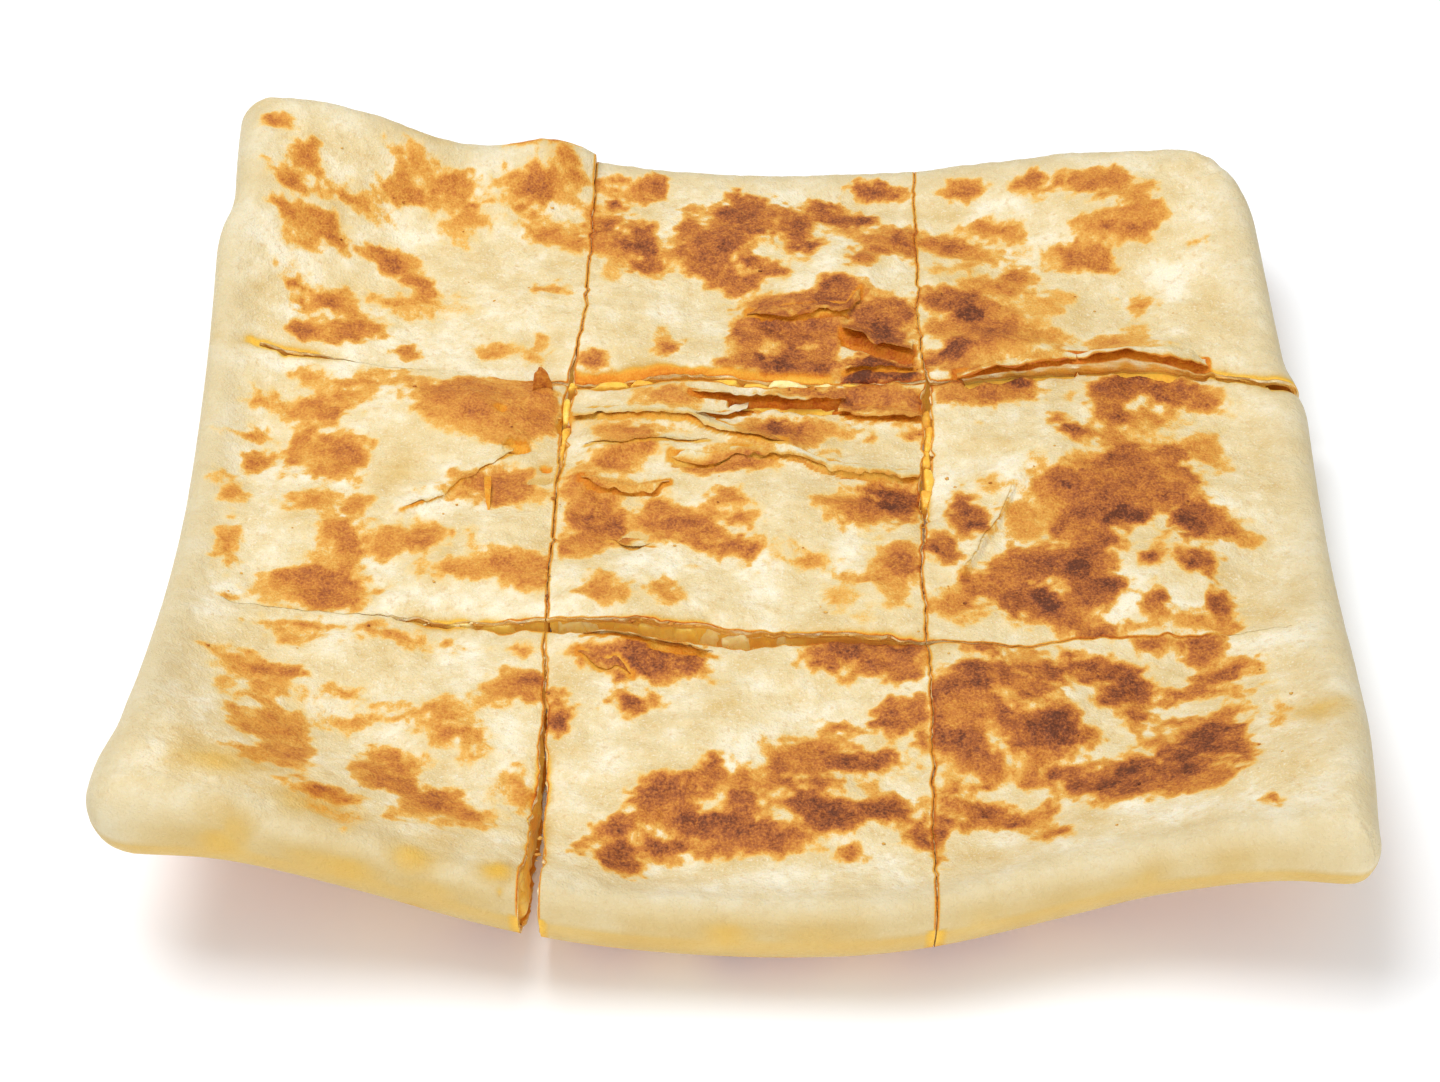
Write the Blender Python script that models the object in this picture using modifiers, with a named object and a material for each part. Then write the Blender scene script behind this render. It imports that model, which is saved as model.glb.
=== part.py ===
"""Banana murtabak: a square of folded dough fried flat round egg and banana, cut three by three.

Lengths are metres, +Z is up, and the front is -Y.  The middle of the underside is flat at z = 0.
Round it the bread keeps the dish of what it was served on, so the edges and corners are lifted.
The knife did not reach the folded edge everywhere: slices that are still joined there are one node.
"""

import math

import bmesh
import bpy
import numpy as np

MM = 0.001

# The seven crust nodes are open shells of dough round the filling.
DOUGH = 1.6 * MM            # dough wall, folded and fried
FILL_GAP = 0.65 * MM        # room between the dough and the filling
FILL_RECESS = 0.9 * MM      # the filling stops this far behind a cut face
LUMP = 0.35 * MM            # how uneven the filling is halfway up a cut face
THICK = 14.0 * MM           # whole bread, under side to top, in the middle
THICK_EDGE = 12.6 * MM      # height of the rounded folded edge
RIM = 5.5 * MM              # depth of the rounded edge, from its outermost line
EDGE_BLEND = 22.0 * MM      # distance over which the edge's height becomes the middle's
PLAN_CENTRE = (1.40 * MM, 1.46 * MM)   # middle of the outline's box, moved to the origin

# The dish: flat to FLAT_R, then rising by LIFT up to RISE_R, about the plate's middle.
DISH_CENTRE = (2.0 * MM, 3.8 * MM)
FLAT_R = 80.0 * MM
RISE_R = 121.0 * MM
LIFT = 19.0 * MM
CORNER_REACH = 80.0 * MM    # from the middle to where a corner's own lift is reached
# Outer corners, as (left or right, front or back): plan radius in mm, and share of the lift.
CORNERS = {(0, 0): (8.0, 1.0), (0, 1): (6.0, 0.97), (1, 0): (4.5, 0.88), (1, 1): (11.0, 0.58)}

# Outline and knife lines, in mm.  Each is (distance along the line, place across it).
OUTER_LEFT = [(-92, -92.5), (-84, -92.8), (-74, -90.5), (-60, -90.3), (-8, -91), (26, -92), (57, -93),
              (66, -91), (92, -92.5)]
KNIFE_LEFT = [(-90, -28.4), (-53, -28.7), (-29, -30.2), (-8, -30.4), (30, -30.0), (48, -28.2), (95, -28.7)]
KNIFE_RIGHT = [(-90, 29.8), (-44, 30.3), (-13, 29.3), (12, 30.6), (31, 30.8), (48, 29.7), (92, 29.5)]
OUTER_RIGHT = [(-88, 93.4), (-61, 95.2), (-37, 95.8), (-8, 95.6), (29, 95.5), (36, 93), (80, 90), (92, 87)]
OUTER_FRONT = [(-90, -88), (-50, -89), (-27, -92), (2, -92.5), (20, -92.5), (31, -91), (48, -86.5),
               (62, -84), (94, -86.5)]
KNIFE_FRONT = [(-84, -26.6), (-59, -28.3), (-30, -29.3), (0, -31), (30, -31.3), (42, -32), (66, -28.8)]
KNIFE_BACK = [(-82, 36), (-56, 33), (-30, 30.6), (-8, 31.6), (31, 31.2), (54, 38.4), (78, 37.2), (96, 32)]
OUTER_BACK = [(-90, 92.5), (-58, 91), (-36, 94.5), (0, 94.5), (62, 95.5), (88, 93)]

# Width of each knife line, in mm, along it.
GAP_LEFT = [(-90, 2.6), (-66, 1.5), (-31, 1.0), (92, 0.9)]
GAP_RIGHT = [(-90, 0.9), (-2, 0.9), (14, 2.4), (26, 1.6), (34, 0.9), (92, 0.9)]
GAP_FRONT = [(-84, 0.9), (-60, 1.2), (-32, 1.6), (-26, 3.6), (4, 4.6), (26, 3.8), (33, 1.1), (95, 0.9)]
GAP_BACK = [(-82, 0.9), (-32, 1.1), (-20, 1.8), (22, 2.0), (36, 1.3), (76, 1.2), (95, 2.0)]

# Cells across a side column or row and across the middle one, and levels up the folded edge.
SIDE_CELLS = 7
MID_CELLS = 10
LEVELS = 4
EDGE_ANGLE = math.radians(52)   # how far round the edge its first grid line stands
SHARP_ANGLE = math.radians(50)  # edges bent more than this are drawn sharp
UNCUT_CELLS = 1                 # cells in from the edge that a stopped knife line leaves joined

# Long waves over the top: (wavelength x, wavelength y, phase, height), in mm and radians.
WAVES = [(52, 71, 0.4, 0.45), (-37, 45, 2.1, 0.35), (23, -31, 4.0, 0.22), (90, 33, 1.2, 0.3)]

# Flaky ridges: a torn sheet stands up along a line and falls away behind it.
# (slice as column and row, height, front slope, back slope, points of the line from left to right), in mm.
RIDGES = [
    ((1, 1), 1.5, 1.2, 5.0, [(-30, 20), (-19, 22), (-11, 21), (-5, 18), (3, 14), (8, 13)]),
    ((1, 1), 1.6, 1.2, 5.0, [(-24, 10), (-16, 14), (-7, 15), (-2, 12), (5, 11), (14, 9), (29, 6)]),
    ((1, 1), 1.2, 2.0, 3.0, [(-27, 5), (-20, 3), (-13, 4)]),
    ((0, 1), 1.2, 1.5, 6.0, [(-55, -4), (-47, 3), (-39, 9)]),
    ((1, 2), 1.3, 1.2, 7.0, [(1, 48), (17, 49), (20, 57)]),
    ((1, 2), 1.1, 1.2, 5.0, [(17, 49), (23, 44), (28, 38)]),
    ((2, 1), 1.0, 1.5, 4.0, [(36, -15), (41, -7), (42, -2), (45, 6)]),
]
RIDGE_FADE = 2.5            # a ridge dies away over this length past its ends, in mm
# Blisters and lumps: (slice, x, y, half length, half width, turn in degrees, height), in mm.
BLISTERS = [
    ((0, 1), -45, 23, 10, 6, 4, 1.8),
    ((0, 2), -36, 95, 9, 12, 0, 4.5),
    ((0, 1), -33, 27, 4, 3, 60, 1.2),
    ((2, 2), 50, 41, 12, 3.5, -8, 1.6),
    ((2, 2), 67, 40, 10, 3.5, 4, 1.8),
    ((1, 0), -18, -35, 9, 4, -6, 1.3),
    ((1, 1), 20, 30, 13, 3.0, -3, 1.2),
]

# Node name, columns and rows of slices in it, and whether it takes the top, the under side or both.
CRUSTS = {
    "crust_left": ((0,), (0, 1, 2), "both"),
    "crust_back_middle": ((1,), (2,), "both"),
    "crust_front_middle": ((1,), (0,), "both"),
    "crust_centre_top": ((1,), (1,), "top"),
    "crust_centre_bottom": ((1,), (1,), "under"),
    "crust_right_back": ((2,), (2,), "both"),
    "crust_right_front": ((2,), (0, 1), "both"),
}
COLUMN_NAMES = ("left", "middle", "right")
ROW_NAMES = ("front", "middle", "back")

DOUGH_COLOUR = (0.78, 0.60, 0.33, 1.0)
FILLING_COLOUR = (0.86, 0.50, 0.07, 1.0)


def clear_scene():
    for obj in list(bpy.data.objects):
        bpy.data.objects.remove(obj, do_unlink=True)


def material(name, colour, roughness):
    mat = bpy.data.materials.new(name)
    mat.use_nodes = True
    shader = mat.node_tree.nodes["Principled BSDF"]
    shader.inputs["Base Color"].default_value = colour
    shader.inputs["Roughness"].default_value = roughness
    shader.inputs["Metallic"].default_value = 0.0
    return mat


def follow(line, at):
    """Place across a line, in metres, at a distance along it in metres."""
    points = np.array(line) * MM
    return float(np.interp(at, points[:, 0], points[:, 1]))


def smooth(t):
    t = min(max(t, 0.0), 1.0)
    return t * t * (3.0 - 2.0 * t)


def dish(x, y):
    """Height of the under side: flat in the middle, lifted at the edges, less at some corners."""
    r = math.hypot(x - DISH_CENTRE[0], y - DISH_CENTRE[1])
    to_right = smooth((x / CORNER_REACH + 1.0) / 2.0)
    to_back = smooth((y / CORNER_REACH + 1.0) / 2.0)
    share = 0.0
    for (right, back), (_, lift) in CORNERS.items():
        share += lift * (to_right if right else 1.0 - to_right) * (to_back if back else 1.0 - to_back)
    return LIFT * share * smooth((r - FLAT_R) / (RISE_R - FLAT_R))


def waves(x, y):
    """Long waves of the top, at x and y in mm; returns mm."""
    z = 0.0
    for along_x, along_y, phase, height in WAVES:
        z += height * math.sin(2.0 * math.pi * (x / along_x + y / along_y) + phase)
    return z


def relief(part, x, y):
    """Torn ridges and blisters that stand on the waves of one slice, at x and y in mm; returns mm."""
    z = 0.0
    for where, height, front, back, points in RIDGES:
        if where != part:
            continue
        line = np.array(points)
        past_end = max(line[0, 0] - x, x - line[-1, 0], 0.0)
        behind = y - float(np.interp(x, line[:, 0], line[:, 1]))
        slope = back if behind > 0 else front
        z += height * math.exp(-(behind / slope) ** 2 - (past_end / RIDGE_FADE) ** 2)
    for where, bx, by, half_length, half_width, turn, height in BLISTERS:
        if where != part:
            continue
        c = math.cos(math.radians(turn))
        s = math.sin(math.radians(turn))
        along = ((x - bx) * c + (y - by) * s) / half_length
        across = ((y - by) * c - (x - bx) * s) / half_width
        z += height * math.exp(-(along ** 2 + across ** 2))
    return z


class Axis:
    """Grid lines over three slices, from one folded edge to the other.

    Each line is (slice, share across that slice).  A knife line is the cell between two slices.
    """

    def __init__(self):
        self.lines = []
        self.first = []
        for part, cells in enumerate((SIDE_CELLS, MID_CELLS, SIDE_CELLS)):
            self.first.append(len(self.lines))
            for n in range(cells + 1):
                self.lines.append((part, n / cells))
        self.count = len(self.lines)

    def part_of_cell(self, centre):
        """Slice number of a cell centre, or None in a knife line."""
        for part, cells in enumerate((SIDE_CELLS, MID_CELLS, SIDE_CELLS)):
            if self.first[part] < centre < self.first[part] + cells:
                return part
        return None

    def from_edge(self, centre):
        return min(centre, self.count - 1 - centre)


AXIS = Axis()
ACROSS = (OUTER_LEFT, KNIFE_LEFT, KNIFE_RIGHT, OUTER_RIGHT)
DEEP = (OUTER_FRONT, KNIFE_FRONT, KNIFE_BACK, OUTER_BACK)
ACROSS_GAPS = (None, GAP_LEFT, GAP_RIGHT, None)
DEEP_GAPS = (None, GAP_FRONT, GAP_BACK, None)
NOMINAL = (-0.090, -0.030, 0.031, 0.092)


def place(line, along, outlines, gaps, inset):
    """Coordinate of one grid line, at a distance along it, set in from the faces at both ends."""
    part, share = AXIS.lines[line]
    low = follow(outlines[part], along)
    high = follow(outlines[part + 1], along)
    low += inset if part == 0 else follow(gaps[part], along) / 2.0 + inset
    high -= inset if part == 2 else follow(gaps[part + 1], along) / 2.0 + inset
    return low + (high - low) * share


def nominal(line):
    part, share = AXIS.lines[line]
    return NOMINAL[part] + (NOMINAL[part + 1] - NOMINAL[part]) * share


def plan(i, j, recess=0.0):
    """Flat place of grid point i, j."""
    x = place(i, nominal(j), ACROSS, ACROSS_GAPS, recess)
    y = place(j, nominal(i), DEEP, DEEP_GAPS, recess)
    return x, y


def edge_distances(x, y):
    """Distance in from the nearest side edge and from the nearest end edge, with their directions."""
    left = x - follow(OUTER_LEFT, y)
    right = follow(OUTER_RIGHT, y) - x
    front = y - follow(OUTER_FRONT, x)
    back = follow(OUTER_BACK, x) - y
    across = (left, 1.0) if left < right else (right, -1.0)
    deep = (front, 1.0) if front < back else (back, -1.0)
    return across, deep


def pull_in_corner(x, y):
    """Round the outer corners in plan: the corner square is mapped onto a quarter circle."""
    (dx, sx), (dy, sy) = edge_distances(x, y)
    radius = CORNERS[int(sx < 0), int(sy < 0)][0] * MM
    a = max(0.0, radius - dx)
    b = max(0.0, radius - dy)
    if a <= 0.0 or b <= 0.0:
        return x, y
    scale = max(a, b) / math.hypot(a, b)
    return x + sx * a * (1.0 - scale), y + sy * b * (1.0 - scale)


def levels(x, y):
    """Under side and top of the bread at x, y, without its ridges and blisters."""
    (dx, _), (dy, _) = edge_distances(x, y)
    inner = min(1.0, min(dx, dy) / EDGE_BLEND)
    height = THICK_EDGE + (THICK - THICK_EDGE) * smooth(inner)
    low = dish(x, y)
    return low, low + height + waves(x / MM, y / MM) * MM * smooth(inner * 2.0)


def crust_point(i, j, k):
    """Point of the outer skin.  k runs from 0, the under side, to LEVELS, the top."""
    last = AXIS.count - 1
    on_edge = i in (0, last) or j in (0, last)
    turn = EDGE_ANGLE * (2.0 * k / LEVELS - 1.0)
    x, y = plan(i, j)
    inset = RIM * (1.0 - math.cos(turn))
    if i in (0, last):
        x += inset if i == 0 else -inset
    if i in (1, last - 1):
        x += (follow(OUTER_LEFT, y) + RIM - x) if i == 1 else (follow(OUTER_RIGHT, y) - RIM - x)
    if j in (0, last):
        y += inset if j == 0 else -inset
    if j in (1, last - 1):
        y += (follow(OUTER_FRONT, x) + RIM - y) if j == 1 else (follow(OUTER_BACK, x) - RIM - y)
    x, y = pull_in_corner(x, y)
    low, top = levels(x, y)
    top += relief((AXIS.lines[i][0], AXIS.lines[j][0]), x / MM, y / MM) * MM
    if not on_edge:
        return x, y, low if k == 0 else top
    middle = (low + top) / 2.0
    return x, y, middle + (top - low) / 2.0 * math.sin(turn)


def steepness(height, x, y):
    """Upright room that a wall of unit thickness takes where the surface slopes."""
    step = 1.0 * MM
    gx = (height(x + step, y) - height(x - step, y)) / (2.0 * step)
    gy = (height(x, y + step) - height(x, y - step)) / (2.0 * step)
    return math.sqrt(1.0 + gx * gx + gy * gy)


def filling_point(i, j, k, ends):
    """Point of a filling: inside the dough, a little behind the cut faces, lumpy halfway up."""
    at_side = i in ends[0] or j in ends[1]
    lump = LUMP * math.sin(2.3 * i + 1.7 * j) if k == 1 and at_side else 0.0
    x, y = plan(i, j, FILL_RECESS + lump)
    last = AXIS.count - 1
    inner = RIM + FILL_GAP
    if i in (1, last - 1):
        x = follow(OUTER_LEFT, y) + inner if i == 1 else follow(OUTER_RIGHT, y) - inner
    if j in (1, last - 1):
        y = follow(OUTER_FRONT, x) + inner if j == 1 else follow(OUTER_BACK, x) - inner
    x, y = pull_in_corner(x, y)
    low, top = levels(x, y)
    room = DOUGH + FILL_GAP
    low += room * steepness(lambda a, b: levels(a, b)[0], x, y)
    top -= room * steepness(lambda a, b: levels(a, b)[1], x, y)
    return x, y, low + (top - low) * k / 2.0


def sliced_cube(i_lines, j_lines, k_lines):
    """A cube cut by planes at whole numbers, so that each corner is a grid point."""
    bm = bmesh.new()
    bmesh.ops.create_cube(bm, size=1.0)
    low = (i_lines[0], j_lines[0], k_lines[0])
    high = (i_lines[-1], j_lines[-1], k_lines[-1])
    for v in bm.verts:
        v.co = [low[a] if v.co[a] < 0 else high[a] for a in range(3)]
    for axis, lines in enumerate((i_lines, j_lines, k_lines)):
        normal = [float(a == axis) for a in range(3)]
        for n in lines[1:-1]:
            geom = bm.verts[:] + bm.edges[:] + bm.faces[:]
            at = [n * c for c in normal]
            bmesh.ops.bisect_plane(bm, geom=geom, dist=1e-5, plane_co=at, plane_no=normal)
    bm.normal_update()
    return bm


def belongs(face, columns, rows, sides):
    """Whether a face of the sliced cube is part of a crust node."""
    centre = face.calc_center_median()
    column = AXIS.part_of_cell(min(max(centre.x, 0.5), AXIS.count - 1.5))
    row = AXIS.part_of_cell(min(max(centre.y, 0.5), AXIS.count - 1.5))
    if sides == "top" and face.normal.z < 0.5 or sides == "under" and face.normal.z > -0.5:
        return False
    if column not in columns:
        return False
    if row is None:
        # A knife line between two slices of one node: joined at the folded edge only.
        near = AXIS.from_edge(centre.x) < UNCUT_CELLS
        return near and AXIS.part_of_cell(centre.y - 1) in rows and AXIS.part_of_cell(centre.y + 1) in rows
    return row in rows


def finish(bm, name, place_point, mat, collection, parent):
    """Move each grid point to its true place and make the object."""
    for v in bm.verts:
        i, j, k = (round(c) for c in v.co)
        x, y, z = place_point(i, j, k)
        v.co = (x - PLAN_CENTRE[0], y - PLAN_CENTRE[1], z)
    mesh = bpy.data.meshes.new(name)
    bm.to_mesh(mesh)
    bm.free()
    mesh.materials.append(mat)
    mesh.shade_smooth()
    mesh.set_sharp_from_angle(angle=SHARP_ANGLE)
    obj = bpy.data.objects.new(name, mesh)
    obj.parent = parent
    collection.objects.link(obj)
    return obj


def make_crust(name, columns, rows, sides, mat, collection, parent):
    """An open shell: the outer skin of some slices, thickened inwards."""
    lines = list(range(AXIS.count))
    bm = sliced_cube(lines, lines, list(range(LEVELS + 1)))
    rest = [f for f in bm.faces if not belongs(f, columns, rows, sides)]
    bmesh.ops.delete(bm, geom=rest, context="FACES")
    obj = finish(bm, name, crust_point, mat, collection, parent)
    shell = obj.modifiers.new("dough", "SOLIDIFY")
    shell.thickness = DOUGH
    shell.offset = -1.0
    shell.use_even_offset = True
    shell.use_rim = True
    return obj


def make_filling(column, row, mat, collection, parent):
    """Egg and banana between the two sheets of one slice."""
    spans = []
    for part in (column, row):
        cells = MID_CELLS if part == 1 else SIDE_CELLS
        start = AXIS.first[part] + (1 if part == 0 else 0)
        end = AXIS.first[part] + cells - (1 if part == 2 else 0)
        spans.append(list(range(start, end + 1)))
    ends = [(span[0], span[-1]) for span in spans]
    name = f"filling_{ROW_NAMES[row]}_{COLUMN_NAMES[column]}"
    bm = sliced_cube(spans[0], spans[1], [0, 1, 2])
    return finish(bm, name, lambda i, j, k: filling_point(i, j, k, ends), mat, collection, parent)


def build():
    clear_scene()
    collection = bpy.data.collections.new("banana_murtabak")
    bpy.context.scene.collection.children.link(collection)
    parent = bpy.data.objects.new("murtabak", None)
    collection.objects.link(parent)
    dough = material("dough", DOUGH_COLOUR, 0.62)
    filling = material("filling", FILLING_COLOUR, 0.35)
    for name, (columns, rows, sides) in CRUSTS.items():
        make_crust(name, columns, rows, sides, dough, collection, parent)
    for column in range(3):
        for row in range(3):
            make_filling(column, row, filling, collection, parent)


build()
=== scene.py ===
"""Looks of a banana murtabak: fried folded dough round egg and banana, cut three by three.

Shapes are worked out in millimetres in the bread's own plan and then put into the frame in metres.
"""

import math

import bpy
import numpy as np
from mathutils import Matrix, Vector


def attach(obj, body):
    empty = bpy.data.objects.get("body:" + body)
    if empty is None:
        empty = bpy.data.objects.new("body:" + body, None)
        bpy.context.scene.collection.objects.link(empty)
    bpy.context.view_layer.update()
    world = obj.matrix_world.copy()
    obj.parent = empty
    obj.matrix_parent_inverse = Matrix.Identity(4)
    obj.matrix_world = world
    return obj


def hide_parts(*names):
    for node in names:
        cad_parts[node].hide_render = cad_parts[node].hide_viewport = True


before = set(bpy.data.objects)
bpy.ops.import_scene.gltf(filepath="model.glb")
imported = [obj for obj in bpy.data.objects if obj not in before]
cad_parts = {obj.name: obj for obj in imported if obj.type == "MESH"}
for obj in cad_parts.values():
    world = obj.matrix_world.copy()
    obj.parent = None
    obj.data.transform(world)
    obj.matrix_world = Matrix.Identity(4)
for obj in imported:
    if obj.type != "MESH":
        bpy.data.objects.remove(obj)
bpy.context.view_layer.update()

# ---------------------------------------------------------------------------------------------
# The fried crust: one wide sheet of dough folded over the filling and fried on both sides.
# It is a wall about a millimetre thick, rounded at the folded edges and open where the knife went.

MM = 0.001
DOUGH = 1.1              # wall, in mm
THICK = 14.0             # whole bread in the middle
THICK_EDGE = 12.6        # height of the folded edge
RIM = 5.5                # depth of the rounded edge
EDGE_BLEND = 22.0        # from the edge's height to the middle's
PLAN_CENTRE = np.array((1.40, 1.46, 0.0))   # the frame's origin in the bread's plan

# The bread keeps the dish of its plate: flat to FLAT_R, then rising by LIFT up to RISE_R.
DISH_CENTRE = (2.0, 3.8)
FLAT_R = 80.0
RISE_R = 121.0
LIFT = 19.0
CORNER_REACH = 80.0
# Corners as (left or right, front or back): plan radius in mm and share of the lift.
CORNERS = {(0, 0): (8.0, 1.0), (0, 1): (6.0, 0.97), (1, 0): (4.5, 0.88), (1, 1): (11.0, 0.58)}

# Folded edges and knife lines in mm, each as (distance along, place across).
OUTER_LEFT = [(-92, -92.5), (-84, -92.8), (-74, -90.5), (-60, -90.3), (-8, -91), (26, -92), (57, -93),
              (66, -91), (92, -92.5)]
KNIFE_LEFT = [(-90, -28.4), (-53, -28.7), (-29, -30.2), (-8, -30.4), (30, -30.0), (48, -28.2), (95, -28.7)]
KNIFE_RIGHT = [(-90, 29.8), (-44, 30.3), (-13, 29.3), (12, 30.6), (31, 30.8), (48, 29.7), (92, 29.5)]
OUTER_RIGHT = [(-88, 93.4), (-61, 95.2), (-37, 95.8), (-8, 95.6), (29, 95.5), (36, 93), (80, 90), (92, 87)]
OUTER_FRONT = [(-90, -88), (-50, -89), (-27, -92), (2, -92.5), (20, -92.5), (31, -91), (48, -86.5),
               (62, -84), (94, -86.5)]
KNIFE_FRONT = [(-84, -26.6), (-59, -28.3), (-30, -29.3), (0, -31), (30, -31.3), (42, -32), (66, -28.8)]
KNIFE_BACK = [(-82, 36), (-56, 33), (-30, 30.6), (-8, 31.6), (31, 31.2), (54, 38.4), (78, 37.2), (96, 32)]
OUTER_BACK = [(-90, 92.5), (-58, 91), (-36, 94.5), (0, 94.5), (62, 95.5), (88, 93)]
ACROSS = (OUTER_LEFT, KNIFE_LEFT, KNIFE_RIGHT, OUTER_RIGHT)
DEEP = (OUTER_FRONT, KNIFE_FRONT, KNIFE_BACK, OUTER_BACK)

# Width of each knife line in mm along it.
GAP_LEFT = [(-90, 2.8), (-66, 1.3), (-48, 0.6), (-31, 0.3), (4, 0.25), (9, 1.0), (28, 1.2), (33, 0.7),
            (40, 0.2), (92, 0.15)]
GAP_RIGHT = [(-90, 0.2), (-12, 0.25), (-2, 0.7), (4, 1.6), (27, 1.4), (33, 0.4), (40, 0.15), (92, 0.12)]
GAP_FRONT = [(-84, 0.08), (-62, 0.1), (-54, 0.9), (-36, 1.8), (-26, 3.4), (2, 4.2), (13, 3.0), (20, 1.9),
             (27, 1.5), (33, 0.4), (52, 0.15), (64, 0.08)]
GAP_BACK = [(-82, 1.0), (-76, 0.9), (-70, 0.1), (-40, 0.1), (-32, 0.9), (-20, 1.9), (22, 1.9), (31, 1.2),
            (36, 0.3), (76, 0.3), (84, 1.4), (95, 2.0)]
ACROSS_GAPS = (None, GAP_LEFT, GAP_RIGHT, None)
DEEP_GAPS = (None, GAP_FRONT, GAP_BACK, None)

EDGE_CELLS = 16          # grid cells round the folded edge, on each side of its outermost line
FLAT_CELLS = (136, 144, 136)
COARSE = 8               # the hidden inner faces have one face for this many cells each way
UNDER = 4                # the same for the under side
UNCUT_CELLS = 24         # cells in from the folded edge that a stopped knife line leaves joined
WALL_LEVELS = 6          # rows of faces down a cut edge of the dough
NOMINAL = (-90.0, -30.0, 31.0, 92.0)


def follow(points, at, rounding=4.0):
    """Place across a line at distances along it: straight between its points, then the mean over
    a few mm either way, which rounds the bends."""
    points = np.array(points, float)
    shifts = np.linspace(-rounding, rounding, 9)
    return np.mean([np.interp(at + s, points[:, 0], points[:, 1]) for s in shifts], axis=0)


def ease(t):
    """Smoothstep: 0 below 0, 1 above 1, and 3t² - 2t³ between."""
    t = np.clip(t, 0.0, 1.0)
    return t * t * (3.0 - 2.0 * t)


def mottle(x, y, size, seed):
    """Smooth noise from -1 to 1: random values on a square lattice, blended with smoothstep."""
    table = np.random.default_rng(seed).uniform(-1.0, 1.0, (101, 101))
    u = x / size + 50.0
    v = y / size + 50.0
    i = np.floor(u).astype(int)
    j = np.floor(v).astype(int)
    a = ease(u - i)
    b = ease(v - j)
    i0, i1, j0, j1 = i % 101, (i + 1) % 101, j % 101, (j + 1) % 101
    low = table[i0, j0] * (1 - a) + table[i1, j0] * a
    high = table[i0, j1] * (1 - a) + table[i1, j1] * a
    return low * (1 - b) + high * b


def axis_lines():
    """Grid lines of one direction: slice number, share across the flat part and turn (0 to 90
    degrees) round the folded edge, with 90 everywhere away from it."""
    part, share, turn = [], [], []
    for n, cells in enumerate(FLAT_CELLS):
        flat = np.arange(cells + 1) / cells
        round_edge = np.arange(EDGE_CELLS) * (math.pi / 2 / EDGE_CELLS)
        before = EDGE_CELLS if n == 0 else 0
        after = EDGE_CELLS if n == 2 else 0
        part.append(np.full(before + cells + 1 + after, n))
        share.append(np.concatenate([np.zeros(before), flat, np.ones(after)]))
        flat_turn = np.full(cells + 1, math.pi / 2)
        turn.append(np.concatenate([round_edge[:before], flat_turn, round_edge[:after][::-1]]))
    return np.concatenate(part), np.concatenate(share), np.concatenate(turn)


LINE_PART, LINE_SHARE, LINE_TURN = axis_lines()
LINES = len(LINE_PART)
SLICE_START = [int(np.argmax(LINE_PART == n)) for n in range(3)]
SLICE_END = [int(LINES - 1 - np.argmax(LINE_PART[::-1] == n)) for n in range(3)]
LINE_NOMINAL = np.array([NOMINAL[p] + (NOMINAL[p + 1] - NOMINAL[p]) * s
                         for p, s in zip(LINE_PART, LINE_SHARE)])


def ragged(along, face, size):
    """Offset of a cut face from its line: noise of three widths, different on every face."""
    across = np.full_like(along, face * 37.0)
    nick = np.maximum(mottle(along, across, 2.1, 120 + face) - 0.45, 0.0)
    return size * (0.3 * mottle(along, across, 3.7, 100 + face) + 0.2 * mottle(along, across, 1.3, 110 + face)
                   + 1.2 * nick)


def spread(outlines, gaps, seed):
    """Place of every grid line (first index) at every distance along it (second index).

    The flat part is shared evenly between the folded edge or knife face at both ends, and lines
    round the folded edge stand in by the edge's depth times 1 - cos(turn).  A knife line wavers
    on both its faces together, and each face is ragged on its own where the line stands open.
    """
    along = LINE_NOMINAL
    place = np.empty((LINES, LINES))
    for part in range(3):
        low = follow(outlines[part], along)
        high = follow(outlines[part + 1], along)
        low_rag = high_rag = 0.0
        if part == 0:
            low = low + RIM
        else:
            gap = follow(gaps[part], along, 1.5)
            low = low + gap / 2.0 + 0.8 * ragged(along, seed + part, 1.0)
            low_rag = np.maximum(ragged(along, seed + 2 * part, 1.0), 0.0) * np.minimum(gap / 1.2, 1.0)
        if part == 2:
            high = high - RIM
        else:
            gap = follow(gaps[part + 1], along, 1.5)
            high = high - gap / 2.0 + 0.8 * ragged(along, seed + part + 1, 1.0)
            high_rag = np.maximum(ragged(along, seed + 2 * part + 3, 1.0), 0.0) * np.minimum(gap / 1.2, 1.0)
        rows = np.arange(SLICE_START[part], SLICE_END[part] + 1)
        share = LINE_SHARE[rows][:, None]
        turn = LINE_TURN[rows][:, None]
        out = RIM * np.cos(turn) * (1.0 if part == 2 else -1.0)
        place[rows] = low[None] + (high - low)[None] * share + out
        # The raggedness dies away within a millimetre or so of the face.
        width = (high - low)[None]
        place[rows] += low_rag * np.exp(-share * width) - high_rag * np.exp(-(1.0 - share) * width)
    return place


PLAN_X = spread(ACROSS, ACROSS_GAPS, 0)
PLAN_Y = spread(DEEP, DEEP_GAPS, 10).T


def edge_distances(x, y):
    """Distance in from the nearer side edge and the nearer end edge, and which they are."""
    left = x - follow(OUTER_LEFT, y)
    right = follow(OUTER_RIGHT, y) - x
    front = y - follow(OUTER_FRONT, x)
    back = follow(OUTER_BACK, x) - y
    return np.minimum(left, right), np.minimum(front, back), right < left, back < front


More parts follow.
